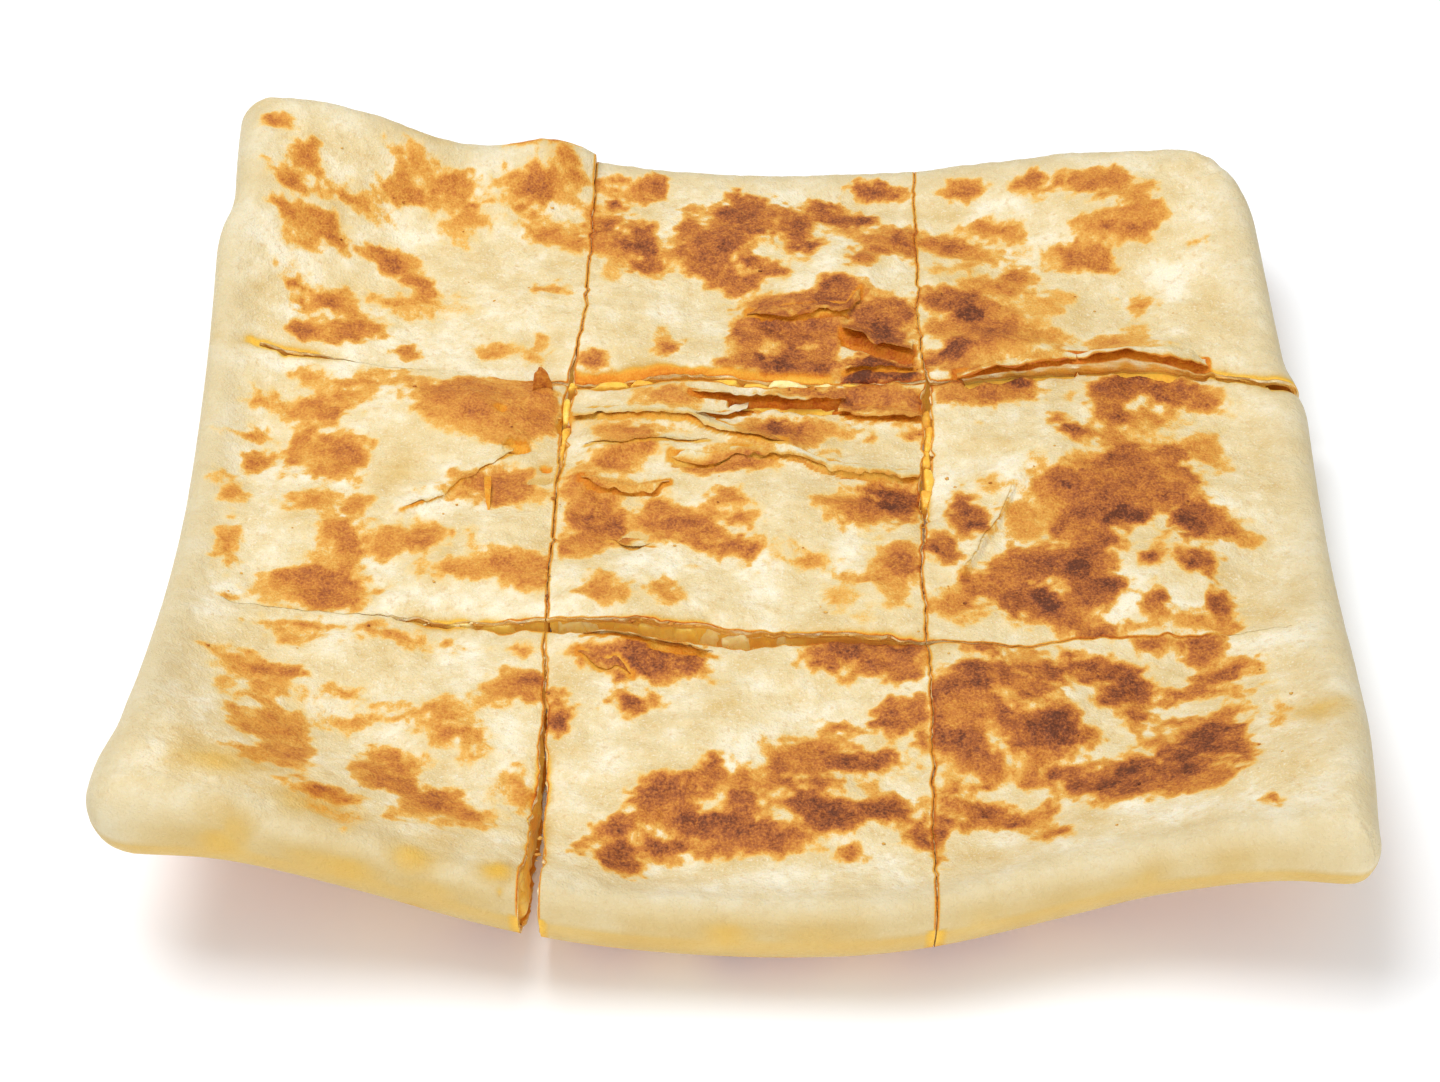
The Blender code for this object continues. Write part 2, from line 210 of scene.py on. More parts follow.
def pull_in_corners(x, y):
    """Round the corners in plan: each corner square is mapped onto a quarter circle."""
    dx, dy, is_right, is_back = edge_distances(x, y)
    radius = np.zeros_like(x)
    for (right, back), (r, _) in CORNERS.items():
        radius[(is_right == bool(right)) & (is_back == bool(back))] = r
    a = np.maximum(0.0, radius - dx)
    b = np.maximum(0.0, radius - dy)
    inside = (a > 0) & (b > 0)
    scale = np.where(inside, np.maximum(a, b) / np.maximum(np.hypot(a, b), 1e-9), 1.0)
    x = x + np.where(is_right, -1.0, 1.0) * a * (1.0 - scale)
    y = y + np.where(is_back, -1.0, 1.0) * b * (1.0 - scale)
    return x, y


PLAN_X, PLAN_Y = pull_in_corners(PLAN_X, PLAN_Y)


def dish(x, y):
    """Height of the under side: a smoothstep rise with distance from the plate's middle, times
    each corner's own share."""
    r = np.hypot(x - DISH_CENTRE[0], y - DISH_CENTRE[1])
    to_right = ease((x / CORNER_REACH + 1.0) / 2.0)
    to_back = ease((y / CORNER_REACH + 1.0) / 2.0)
    share = 0.0
    for (right, back), (_, lift) in CORNERS.items():
        share = share + lift * (to_right if right else 1 - to_right) * (to_back if back else 1 - to_back)
    return LIFT * share * ease((r - FLAT_R) / (RISE_R - FLAT_R))


# Long waves over the top: (wavelength x, wavelength y, phase, height).
WAVES = [(52, 71, 0.4, 0.45), (-37, 45, 2.1, 0.35), (23, -31, 4.0, 0.22), (90, 33, 1.2, 0.3)]


def levels(x, y):
    """Under side and top of the plain bread."""
    dx, dy, _, _ = edge_distances(x, y)
    inner = np.clip(np.minimum(dx, dy) / EDGE_BLEND, 0.0, 1.0)
    height = THICK_EDGE + (THICK - THICK_EDGE) * ease(inner)
    wave = 0.0
    for along_x, along_y, phase, high in WAVES:
        wave = wave + high * np.sin(2.0 * math.pi * (x / along_x + y / along_y) + phase)
    low = dish(x, y)
    return low, low + height + wave * ease(inner * 2.0)


def steepness(x, y):
    """Upright room that a wall of unit thickness takes where the dish slopes."""
    gx = (dish(x + 1.0, y) - dish(x - 1.0, y)) / 2.0
    gy = (dish(x, y + 1.0) - dish(x, y - 1.0)) / 2.0
    return np.sqrt(1.0 + gx * gx + gy * gy)


# Ridges where a layer of dough stands up: (slice as column and row, height, front slope, back
# slope, points from left to right), in mm.
RIDGES = [
    ((1, 1), 0.9, 0.9, 5.0, [(-30, 21), (-26, 22), (-13, 21), (-8, 20), (-1, 16), (7, 13)]),
    ((1, 1), 1.0, 0.9, 5.0, [(-24, 11), (-16, 14), (-7, 12), (-2, 12), (5, 11), (14, 9), (30, 7)]),
    ((1, 1), 0.8, 0.8, 3.0, [(-27, 4), (-20, 3), (-13, 4)]),
    ((0, 1), 0.9, 1.0, 6.0, [(-55, -4), (-47, 3), (-39, 9)]),
    ((1, 2), 0.8, 0.9, 7.0, [(1, 48), (17, 49), (20, 57)]),
    ((1, 2), 0.8, 0.9, 5.0, [(16, 44), (23, 41), (29, 38)]),
    ((2, 1), 0.8, 0.8, 4.0, [(36, -16), (40, -7), (43, 0), (45, 6)]),
]
# Hollows left in front of a lifted layer, tinted more soaked and browner, partly as the layer below and partly as
# painted shade under the lift: (slice, width, depth, soak, heat, points), in mm.
HOLLOWS = [
    ((1, 1), 3.0, 1.3, 1.0, 0.52, [(-2, 26), (3, 26.5), (8, 26), (17, 26)]),
    ((1, 1), 1.0, 0.3, 0.8, 0.12, [(-28, 22), (-20, 21), (-13, 21), (-8, 20), (-5, 18), (2, 14.5)]),
    ((1, 1), 0.9, 0.4, 0.3, 0.40, [(-11, 10), (-5, 9.5), (-1.5, 12), (10, 10), (16, 7.5), (28, 7.5)]),
    ((1, 1), 0.8, 0.3, 0.8, 0.30, [(-25, 3), (-18, 2.5), (-14, 3)]),
    ((1, 2), 0.9, 0.5, 0.8, 0.42, [(3, 48.5), (10, 49), (17, 49.5)]),
    ((1, 2), 2.8, 1.2, 1.0, 0.40, [(17, 44), (20, 43), (23, 40.5), (28, 38.5)]),
    ((2, 1), 3.2, 2.2, 0.9, 0.66, [(38, 33.3), (43, 35), (49, 36.8), (56, 38.2)]),
    ((2, 1), 3.6, 2.4, 1.0, 0.42, [(58, 38.4), (65, 38), (72, 37.6), (78, 37.2)]),
    ((2, 1), 2.0, 1.6, 1.0, 0.15, [(83, 35.4), (88, 34), (93, 32.6)]),
    ((1, 0), 1.3, 0.5, 1.0, 0.26, [(-13, -34.6), (-9, -34.9), (-5, -35)]),
]
# Holes torn through the top layer: (slice, x, y, half length, half width, turn, depth, soak, heat).
TEARS = [
    ((0, 1), -37.6, 13.0, 2.2, 1.9, 20, 1.3, 1.3, 0.14),
    ((0, 1), -32.4, 7.7, 1.0, 0.6, -30, 0.8, 1.1, 0.25),
    ((0, 1), -33.2, 4.4, 2.4, 1.0, 10, 0.4, 0.5, 0.05),
    ((0, 1), -30.2, 21.5, 1.0, 3.0, -8, 1.1, 1.1, 0.12),
    ((1, 1), -17.0, -8.5, 2.6, 2.0, 60, 0.3, 0.5, 0.10),
    ((0, 1), -41.0, 21.5, 1.0, 0.7, 0, 0.3, 1.0, 0.30),
]
# Blisters: (slice, x, y, half length, half width, turn in degrees, height), in mm.
BLISTERS = [
    ((0, 1), -45, 23, 10, 6, 4, 2.0),
    ((0, 2), -36, 95, 9, 12, 0, 4.5),
    ((0, 1), -33, 27, 4, 3, 60, 1.4),
    ((2, 2), 50, 41, 12, 3.5, -8, 1.6),
    ((2, 2), 67, 40, 10, 3.5, 4, 1.8),
    ((1, 0), -18, -35, 9, 4, -6, 1.3),
    ((1, 1), 20, 30, 13, 3.0, -3, 1.2),
]


# Loose leaves of dough, which are made further on; the skin below them is tinted soaked and golden, partly as egg
# and partly as painted shade under the lifted edge:
# (slice, depth back, lift of the free edge, curl down at the edge, how the ends close as left and
# right, heat and soak at the edge, points of the free edge from left to right), in mm.
LEAVES = [
    ((1, 1), 3.4, 1.3, 0.1, (1, 0), 0.45, 0.2, [(-9, 26.3), (-2, 26), (3, 26.5), (8, 26), (17, 26)]),
    ((1, 1), 5.0, 1.0, 0.2, (0, 0), 0.55, 0.1, [(16, 23.5), (21, 22.5), (26, 22), (29.6, 21.5)]),
    ((1, 1), 5.0, 0.5, 0.15, (0, 1), 0.28, 0.3, [(-28.9, 21), (-26, 22), (-19.5, 21), (-13, 21), (-8.5, 20.5),
                                                (-5, 18), (-1.5, 16), (2.5, 14.5), (7, 13)]),
    ((1, 1), 3.2, 0.8, 0.0, (1, 0), 0.05, 0.0, [(-9, 20.8), (-4.5, 21), (-1.5, 22), (0.5, 23.2)]),
    ((1, 1), 3.6, 0.20, 0.0, (1, 1), 0.25, 0.2, [(-26, 13), (-20, 13), (-13.5, 15), (-6, 15)]),
    ((1, 1), 5.0, 0.4, 0.10, (1, 0), 0.40, 0.2, [(-12, 10.5), (-6.5, 9.5), (-4, 9.7), (-1.5, 12), (2.5, 11),
                                                (5.5, 10.5), (10.5, 10.5), (13, 9), (16.5, 7.5), (21.5, 7.5),
                                                (29.6, 7.5)]),
    ((1, 1), 3.2, 0.9, 0.5, (1, 1), 0.50, 0.1, [(-26.5, 3.6), (-23.5, 2.5), (-18.5, 2.5), (-14.5, 3),
                                                (-12, 4.2)]),
    ((1, 1), 2.5, 0.15, 0.0, (1, 1), 0.15, 0.2, [(-21, -9), (-18, -10.5), (-14, -10)]),
    ((1, 2), 5.0, 0.8, 0.2, (1, 0), 0.45, 0.3, [(0, 49.3), (3, 48.5), (6.5, 48.5), (10.5, 49), (13, 50),
                                                (17, 49.5), (19.5, 54)]),
    ((1, 2), 5.5, 1.7, 0.2, (0, 0), 0.50, 0.1, [(16.5, 44), (20, 43), (23, 40.5), (27, 38.6), (28.6, 38.5)]),
    ((1, 2), 2.6, 0.7, 0.1, (0, 0), 0.75, 0.1, [(17, 34.6), (20, 35.6), (23.5, 35.4), (28.6, 34.6)]),
    ((0, 1), 4.0, 0.15, 0.0, (1, 1), 0.20, 0.2, [(-55, -4), (-48.5, 1), (-45, 4.5), (-42.5, 7), (-38, 10.5)]),
    ((2, 2), 5.0, 1.6, 0.1, (1, 1), 0.55, 0.2, [(36, 32.2), (40, 33.4), (43, 34.6), (48.5, 36.3),
                                                (56.5, 38)]),
    ((2, 2), 5.0, 1.8, 0.1, (1, 1), 0.45, 0.3, [(57, 37.9), (60.5, 37.6), (65.5, 37.2), (68, 37.6),
                                                (73.5, 37), (79, 36.6)]),
    ((1, 0), 1.6, 0.7, 0.1, (1, 1), 0.30, 0.3, [(-24, -33.0), (-20, -33.2), (-17.5, -33.6), (-12, -34.4),
                                                (-6.5, -34.8), (-3.5, -35.4)]),
    ((1, 0), 3.5, 0.6, 0.3, (1, 1), 0.55, 0.2, [(-24.5, -37), (-22, -39.3), (-18, -39), (-16, -41.5)]),
    ((2, 1), 3.0, 0.10, 0.0, (1, 1), 0.10, 0.1, [(36, -16), (39.5, -7), (43, 0), (44.5, 5.5)]),
]


def slice_lines(part):
    return slice(SLICE_START[part], SLICE_END[part] + 1)


def behind_line(x, y, points):
    """Distance behind a line of points and distance past its ends, with a wavering line."""
    line = np.array(points, float)
    waver = 0.35 * mottle(x, y * 0.1, 3.0, 31) + 0.25 * mottle(x, y * 0.1, 1.1, 32)
    behind = y - np.interp(x, line[:, 0], line[:, 1]) + waver
    return behind, np.maximum(np.maximum(line[0, 0] - x, x - line[-1, 0]), 0.0)


top_low, top_high = levels(PLAN_X, PLAN_Y)
RELIEF = np.zeros_like(PLAN_X)
for (column, row), height, front, back, points in RIDGES:
    area = (slice_lines(column), slice_lines(row))
    behind, past_end = behind_line(PLAN_X[area], PLAN_Y[area], points)
    slope = np.where(behind > 0, back, front)
    RELIEF[area] += height * np.exp(-(behind / slope) ** 2 - (past_end / 2.5) ** 2)
for (column, row), bx, by, long, wide, turn, height in BLISTERS:
    area = (slice_lines(column), slice_lines(row))
    x, y = PLAN_X[area] - bx, PLAN_Y[area] - by
    c, s = math.cos(math.radians(turn)), math.sin(math.radians(turn))
    RELIEF[area] += height * np.exp(-((x * c + y * s) / long) ** 2 - ((y * c - x * s) / wide) ** 2)

# Scorched places, by slice, where the dough stood against the griddle:
# (x, y, half length, half width, heat), in mm, with heat 0.4 golden, 0.6 brown and 0.9 dark.
SCORCHES = {
    (0, 2): [
        (-85, 82, 2.6, 1.4, 0.52), (-84, 82, 1.3, 0.9, 0.58), (-79, 77, 1.8, 2.0, 0.54),
        (-79, 75, 1.8, 1.5, 0.62), (-78, 74, 2.3, 1.5, 0.5), (-86, 72, 1.3, 0.8, 0.5),
        (-81, 70, 2.0, 1.9, 0.62), (-81, 70, 1.4, 1.2, 0.66), (-81, 64, 3.2, 2.2, 0.52),
        (-81, 63, 1.8, 1.2, 0.58), (-76, 65, 2.7, 1.9, 0.62), (-75, 64, 1.8, 1.2, 0.66),
        (-74, 62, 2.7, 1.4, 0.56), (-73, 62, 1.4, 0.9, 0.62), (-78, 59, 1.8, 0.9, 0.5),
        (-70, 71, 3.2, 1.4, 0.55), (-71, 71, 1.9, 0.9, 0.62), (-66, 63, 2.2, 1.4, 0.56),
        (-65, 63, 1.1, 0.8, 0.62), (-62, 61, 2.4, 2.2, 0.62), (-62, 60, 1.5, 1.4, 0.68),
        (-61, 63, 1.3, 0.9, 0.52), (-57, 56, 2.6, 2.7, 0.62), (-57, 55, 1.5, 1.7, 0.68),
        (-59, 58, 2.2, 2.0, 0.54), (-60, 51, 3.5, 1.9, 0.5), (-62, 50, 2.6, 1.6, 0.46),
        (-58, 52, 2.2, 1.5, 0.5), (-64, 83, 1.6, 1.3, 0.52), (-61, 83, 1.8, 1.8, 0.5),
        (-62, 77, 3.6, 1.7, 0.54), (-64, 75, 1.8, 1.1, 0.62), (-60, 77, 2.7, 1.5, 0.64),
        (-56, 79, 3.1, 1.1, 0.6), (-54, 79, 2.2, 1.2, 0.62), (-54, 81, 2.7, 1.4, 0.56),
        (-52, 82, 2.3, 0.8, 0.5), (-51, 77, 2.2, 1.3, 0.54), (-51, 77, 1.1, 0.8, 0.6),
        (-50, 73, 3.1, 1.7, 0.46), (-52, 72, 2.7, 1.6, 0.36), (-48, 73, 1.3, 1.1, 0.5),
        (-42, 91, 1.8, 1.1, 0.5), (-37, 92, 1.8, 0.9, 0.6), (-36, 92, 0.9, 0.5, 0.68),
        (-34, 89, 2.5, 1.3, 0.55), (-34, 88, 1.4, 0.8, 0.62), (-41, 82, 3.2, 2.3, 0.58),
        (-40, 81, 1.8, 1.7, 0.66), (-44, 82, 1.4, 1.7, 0.54), (-37, 83, 2.3, 2.9, 0.6),
        (-37, 82, 1.4, 1.7, 0.66), (-39, 85, 2.3, 1.2, 0.54), (-43, 80, 1.8, 1.1, 0.5),
        (-32, 85, 2.3, 2.1, 0.52), (-41, 77, 2.3, 1.4, 0.5), (-40, 75, 0.9, 0.7, 0.5),
        (-35, 74, 2.2, 1.4, 0.56), (-37, 71, 2.2, 2.0, 0.58), (-34, 71, 2.7, 1.4, 0.56),
        (-36, 72, 1.8, 1.7, 0.62), (-31, 69, 1.8, 1.9, 0.5), (-29, 79, 1.4, 1.5, 0.56),
        (-30, 75, 1.3, 1.3, 0.5), (-35, 56, 3.1, 1.3, 0.46), (-33, 55, 1.3, 1.5, 0.5),
        (-78, 52, 0.7, 0.5, 0.5), (-72, 49, 2.6, 2.0, 0.62), (-72, 50, 1.5, 1.2, 0.66),
        (-76, 47, 2.2, 1.9, 0.5), (-69, 47, 1.3, 1.6, 0.54), (-69, 42, 3.0, 2.3, 0.56),
        (-68, 42, 2.6, 1.7, 0.62), (-65, 44, 1.7, 1.3, 0.56), (-71, 39, 2.1, 2.0, 0.52),
        (-72, 40, 1.3, 1.3, 0.54), (-71, 44, 0.9, 1.0, 0.5), (-67, 45, 1.3, 1.3, 0.5),
        (-71, 48, 1.7, 1.2, 0.54), (-76, 41, 1.9, 2.2, 0.58), (-77, 40, 1.3, 1.4, 0.64),
        (-76, 42, 1.1, 1.2, 0.56), (-58, 39, 2.1, 2.1, 0.58), (-59, 39, 1.3, 1.3, 0.64),
        (-51, 50, 2.6, 1.6, 0.26), (-43, 38, 2.6, 1.6, 0.46), (-43, 39, 1.1, 1.1, 0.56),
        (-36, 39, 1.2, 1.2, 0.5),
    ],
    (1, 2): [
        (-23, 88, 1.7, 0.5, 0.71), (-26, 86, 1.3, 0.7, 0.65), (-18, 87, 2.5, 2.0, 0.7),
        (-17, 88, 1.7, 1.5, 0.76), (-20, 85, 1.3, 1.7, 0.65), (-25, 83, 1.7, 1.8, 0.74),
        (-26, 76, 2.5, 3.3, 0.71), (-28, 73, 1.2, 2.3, 0.67), (-19, 75, 1.7, 1.5, 0.65),
        (-20, 72, 2.5, 2.8, 0.71), (-22, 69, 2.5, 2.7, 0.74), (-19, 69, 2.9, 3.3, 0.76),
        (-19, 64, 2.9, 2.6, 0.71), (-16, 64, 2.0, 3.9, 0.61), (-23, 67, 2.0, 2.7, 0.59),
        (-27, 71, 2.5, 2.9, 0.47), (-24, 62, 1.6, 2.7, 0.35), (-14, 67, 2.5, 1.9, 0.56),
        (-12, 69, 2.5, 1.6, 0.63), (-10, 81, 2.1, 2.0, 0.45), (-11, 76, 1.7, 3.9, 0.65),
        (-10, 73, 2.1, 2.9, 0.67), (-9, 69, 2.5, 3.3, 0.71), (-7, 66, 2.5, 2.4, 0.74),
        (-9, 64, 1.6, 1.8, 0.65), (-4, 78, 3.3, 3.4, 0.78), (-5, 78, 1.7, 2.5, 0.8),
        (-1, 78, 2.5, 3.7, 0.75), (0, 82, 2.5, 3.3, 0.74), (-2, 84, 3.3, 2.2, 0.67),
        (3, 79, 2.5, 3.2, 0.71), (-3, 73, 3.3, 2.9, 0.75), (1, 74, 2.5, 2.1, 0.7), (-3, 88, 0.8, 0.5, 0.65),
        (-5, 69, 2.5, 3.2, 0.8), (-5, 69, 1.2, 1.5, 0.87), (-3, 69, 2.1, 1.9, 0.76),
        (-6, 71, 1.6, 2.0, 0.76), (-6, 63, 2.4, 2.8, 0.7), (-3, 61, 2.4, 2.2, 0.71),
        (0, 61, 2.5, 1.8, 0.76), (-2, 58, 2.4, 1.8, 0.75), (-5, 60, 1.6, 2.2, 0.65), (0, 65, 2.4, 1.3, 0.75),
        (0, 65, 1.2, 0.8, 0.77), (5, 63, 2.5, 1.3, 0.76), (4, 64, 1.6, 1.0, 0.7), (9, 78, 2.6, 3.0, 0.76),
        (9, 76, 2.1, 3.0, 0.79), (6, 76, 1.7, 1.8, 0.71), (9, 73, 1.7, 2.2, 0.8), (11, 70, 2.5, 1.8, 0.75),
        (8, 70, 2.1, 1.4, 0.74), (7, 79, 2.6, 2.2, 0.65), (13, 81, 4.2, 2.5, 0.65), (12, 83, 2.1, 1.0, 0.7),
        (17, 79, 4.1, 2.6, 0.67), (20, 79, 2.1, 2.2, 0.75), (18, 75, 2.5, 1.9, 0.49),
        (21, 88, 2.1, 1.5, 0.76), (22, 87, 1.7, 1.1, 0.77), (25, 88, 2.5, 1.0, 0.67),
        (25, 86, 2.1, 1.1, 0.65), (27, 72, 2.5, 2.4, 0.75), (27, 73, 1.7, 1.4, 0.75),
        (29, 74, 1.3, 2.0, 0.71), (24, 70, 3.4, 2.2, 0.63), (28, 69, 2.1, 2.7, 0.63),
        (20, 65, 2.1, 2.1, 0.65), (19, 65, 1.2, 1.0, 0.71), (22, 73, 2.1, 2.6, 0.56),
        (-15, 45, 1.6, 2.7, 0.35), (-13, 40, 2.0, 2.8, 0.59), (-26, 37, 2.4, 2.4, 0.65),
        (-25, 36, 1.2, 2.1, 0.65), (15, 58, 2.4, 1.8, 0.75), (15, 59, 1.2, 1.2, 0.78),
        (18, 57, 2.4, 1.7, 0.76), (9, 54, 4.8, 2.1, 0.7), (14, 54, 3.2, 2.2, 0.74), (4, 53, 4.0, 2.3, 0.65),
        (2, 51, 2.4, 1.7, 0.65), (11, 52, 5.6, 1.9, 0.7), (17, 54, 2.4, 2.8, 0.71), (15, 51, 3.2, 1.1, 0.75),
        (5, 46, 5.6, 3.1, 0.7), (11, 46, 5.6, 3.3, 0.71), (0, 44, 3.2, 4.4, 0.63), (3, 46, 2.4, 2.0, 0.76),
        (15, 45, 2.0, 4.6, 0.7), (2, 39, 1.8, 2.2, 0.89), (8, 42, 1.6, 2.4, 0.87), (8, 40, 2.4, 3.0, 0.75),
        (6, 37, 2.4, 1.8, 0.9), (5, 36, 2.0, 1.5, 0.85), (9, 39, 2.4, 2.5, 0.75), (0, 38, 2.4, 3.3, 0.65),
        (13, 39, 3.2, 3.8, 0.71), (8, 34, 3.9, 1.9, 0.74), (13, 35, 2.4, 2.0, 0.74),
        (-3, 36, 2.4, 1.9, 0.56), (21, 50, 4.0, 3.5, 0.74), (25, 53, 4.0, 3.2, 0.63),
        (27, 51, 2.4, 3.9, 0.7), (24, 45, 2.4, 3.7, 0.9), (23, 48, 2.0, 2.4, 0.9),
        (25, 42, 2.4, 2.5, 0.89), (21, 45, 2.4, 2.5, 0.76), (27, 43, 2.0, 3.7, 0.76),
        (27, 40, 1.6, 1.2, 0.76), (18, 46, 2.0, 1.8, 0.71), (20, 35, 2.0, 2.6, 0.9),
        (19, 33, 2.3, 1.3, 0.89), (24, 36, 3.1, 2.5, 0.75), (28, 34, 2.0, 2.3, 0.9),
        (22, 37, 3.1, 2.6, 0.8), (26, 33, 2.7, 1.3, 0.82), (22, 33, 2.3, 1.3, 0.75),
    ],
    (2, 2): [
        (38, 86, 4.1, 3.0, 0.56), (38, 85, 2.5, 1.6, 0.68), (52, 87, 4.1, 1.9, 0.58),
        (51, 88, 2.0, 1.5, 0.64), (58, 85, 4.0, 1.5, 0.58), (61, 84, 3.0, 1.7, 0.58),
        (66, 84, 2.5, 2.6, 0.56), (63, 81, 3.0, 1.5, 0.5), (69, 80, 3.0, 3.0, 0.5),
        (71, 76, 2.5, 3.0, 0.56), (70, 74, 3.0, 2.5, 0.5), (58, 75, 1.3, 1.3, 0.5),
        (65, 75, 4.0, 2.3, 0.56), (64, 73, 3.0, 1.6, 0.68), (67, 72, 3.0, 1.7, 0.66),
        (61, 72, 2.0, 1.3, 0.5), (79, 69, 2.0, 1.4, 0.54), (59, 68, 4.5, 2.9, 0.52),
        (60, 66, 4.9, 2.6, 0.56), (57, 67, 2.5, 2.1, 0.58), (62, 64, 2.5, 1.6, 0.5),
        (68, 55, 2.9, 1.5, 0.46), (42, 77, 3.5, 2.1, 0.55), (46, 76, 3.0, 2.0, 0.5),
        (33, 74, 3.0, 1.6, 0.5), (37, 71, 5.0, 3.2, 0.62), (36, 71, 3.0, 2.0, 0.76),
        (33, 73, 3.0, 2.3, 0.58), (42, 69, 4.0, 2.0, 0.5), (35, 65, 3.0, 1.8, 0.42),
        (39, 66, 2.5, 1.7, 0.42), (48, 63, 2.7, 2.4, 0.6), (48, 62, 1.5, 1.5, 0.66),
        (41, 60, 3.0, 3.5, 0.48), (46, 59, 4.4, 3.5, 0.5), (38, 57, 5.0, 2.2, 0.58),
        (36, 55, 4.5, 3.5, 0.74), (39, 51, 2.4, 2.9, 0.92), (37, 54, 2.5, 2.1, 0.84),
        (33, 55, 2.5, 2.6, 0.68), (42, 52, 2.9, 2.6, 0.55), (45, 52, 3.4, 2.2, 0.42),
        (51, 54, 3.5, 3.4, 0.42), (55, 56, 3.0, 2.4, 0.34), (54, 52, 2.5, 2.3, 0.38),
        (35, 47, 4.4, 3.1, 0.6), (41, 47, 4.4, 3.3, 0.62), (47, 46, 5.4, 3.1, 0.56),
        (48, 43, 5.5, 2.1, 0.55), (52, 46, 3.0, 2.1, 0.46), (36, 40, 3.4, 2.4, 0.9),
        (37, 41, 2.4, 2.0, 0.86), (33, 39, 2.9, 2.4, 0.74), (41, 42, 3.9, 2.4, 0.6),
        (37, 36, 2.9, 1.3, 0.76), (44, 40, 4.5, 1.4, 0.5), (52, 39, 2.9, 1.4, 0.4),
        (62, 44, 2.9, 2.0, 0.46), (61, 45, 1.9, 1.2, 0.5), (65, 43, 2.9, 1.6, 0.48),
        (68, 46, 2.4, 3.5, 0.32), (71, 42, 3.4, 1.5, 0.32), (68, 52, 1.9, 2.4, 0.28),
    ],
    (0, 1): [
        (-75, 30, 2.8, 1.7, 0.52), (-66, 29, 4.3, 1.6, 0.54), (-62, 32, 3.6, 1.6, 0.46),
        (-67, 26, 2.9, 1.6, 0.48), (-59, 29, 3.6, 1.9, 0.44), (-82, 24, 2.8, 1.2, 0.5),
        (-73, 23, 3.6, 1.9, 0.58), (-70, 24, 2.9, 1.7, 0.52), (-75, 21, 2.9, 1.9, 0.56),
        (-69, 21, 3.0, 2.2, 0.58), (-73, 17, 2.2, 2.1, 0.5), (-75, 12, 3.0, 2.3, 0.5),
        (-74, 15, 2.2, 2.2, 0.5), (-82, 16, 2.4, 1.6, 0.5), (-81, 9, 2.4, 2.7, 0.54),
        (-69, 13, 3.6, 2.8, 0.6), (-67, 10, 4.2, 3.2, 0.58), (-70, 6, 2.8, 1.8, 0.5),
        (-66, 6, 2.8, 2.0, 0.54), (-64, 10, 1.7, 2.9, 0.52), (-66, 13, 2.8, 1.6, 0.52),
        (-44, 24, 10.6, 7.3, 0.52), (-48, 26, 6.4, 4.2, 0.54), (-50, 21, 4.2, 3.4, 0.5),
        (-41, 19, 7.0, 4.7, 0.5), (-37, 25, 4.2, 6.9, 0.54), (-39, 17, 5.6, 3.3, 0.46),
        (-44, 27, 7.1, 2.4, 0.58), (-34, 23, 2.8, 6.6, 0.54), (-41, 25, 4.2, 2.4, 0.58),
        (-51, 22, 2.8, 1.8, 0.56), (-37, 28, 3.5, 2.3, 0.58), (-46, 17, 4.2, 2.2, 0.42),
        (-44, 4, 4.1, 2.5, 0.54), (-40, 5, 4.2, 2.7, 0.56), (-37, 2, 3.5, 3.4, 0.6),
        (-47, 1, 3.4, 1.6, 0.48), (-38, 0, 4.1, 2.3, 0.54), (-36, 6, 2.1, 2.3, 0.46),
        (-33, 0, 2.0, 2.2, 0.4), (-83, -1, 2.4, 2.4, 0.5), (-70, -1, 2.7, 1.3, 0.5),
        (-70, -3, 3.4, 1.2, 0.48), (-63, -1, 2.1, 1.9, 0.54), (-61, -2, 1.4, 1.7, 0.5),
        (-82, -14, 2.0, 4.4, 0.52), (-83, -12, 1.1, 2.0, 0.54), (-65, -8, 2.7, 3.1, 0.56),
        (-63, -12, 2.4, 3.9, 0.58), (-66, -10, 2.0, 2.0, 0.46), (-63, -16, 2.0, 2.4, 0.5),
        (-55, -8, 4.1, 2.0, 0.48), (-51, -9, 2.8, 2.6, 0.52), (-54, -11, 4.1, 2.0, 0.54),
        (-58, -12, 2.0, 2.4, 0.46), (-56, -10, 2.7, 2.0, 0.5), (-44, -17, 4.0, 2.3, 0.48),
        (-46, -18, 2.7, 1.5, 0.52), (-43, -12, 1.4, 3.2, 0.32), (-40, -17, 2.7, 1.8, 0.44),
        (-35, -16, 5.3, 2.8, 0.56), (-33, -20, 3.4, 1.9, 0.54), (-38, -16, 2.7, 1.8, 0.48),
        (-32, -16, 2.0, 3.0, 0.5), (-72, -20, 3.3, 2.5, 0.54), (-68, -20, 3.3, 3.4, 0.58),
        (-66, -19, 3.3, 2.9, 0.58), (-63, -21, 3.3, 2.9, 0.58), (-66, -24, 4.0, 3.0, 0.62),
        (-62, -25, 3.3, 2.1, 0.64), (-68, -23, 3.3, 2.0, 0.52), (-74, -22, 2.7, 1.6, 0.46),
        (-74, -24, 4.0, 1.5, 0.4),
    ],
    (1, 1): [
        (-13, 26, 5.1, 2.6, 0.5), (-15, 26, 2.6, 1.7, 0.56), (-10, 26, 2.1, 1.2, 0.5),
        (9, 28, 3.4, 1.0, 0.6), (9, 29, 2.6, 0.6, 0.5), (19, 27, 3.8, 3.3, 0.62), (23, 27, 4.2, 3.0, 0.62),
        (28, 26, 3.4, 3.1, 0.6), (19, 25, 0.6, 0.6, 0.81), (13, 27, 2.6, 1.7, 0.6),
        (17, 28, 2.6, 1.7, 0.64), (26, 23, 5.1, 1.0, 0.5), (30, 24, 1.3, 2.6, 0.5), (6, 19, 3.4, 3.1, 0.73),
        (5, 21, 1.7, 1.4, 0.81), (9, 19, 2.5, 2.7, 0.66), (5, 18, 2.5, 2.1, 0.79), (12, 19, 3.4, 2.6, 0.54),
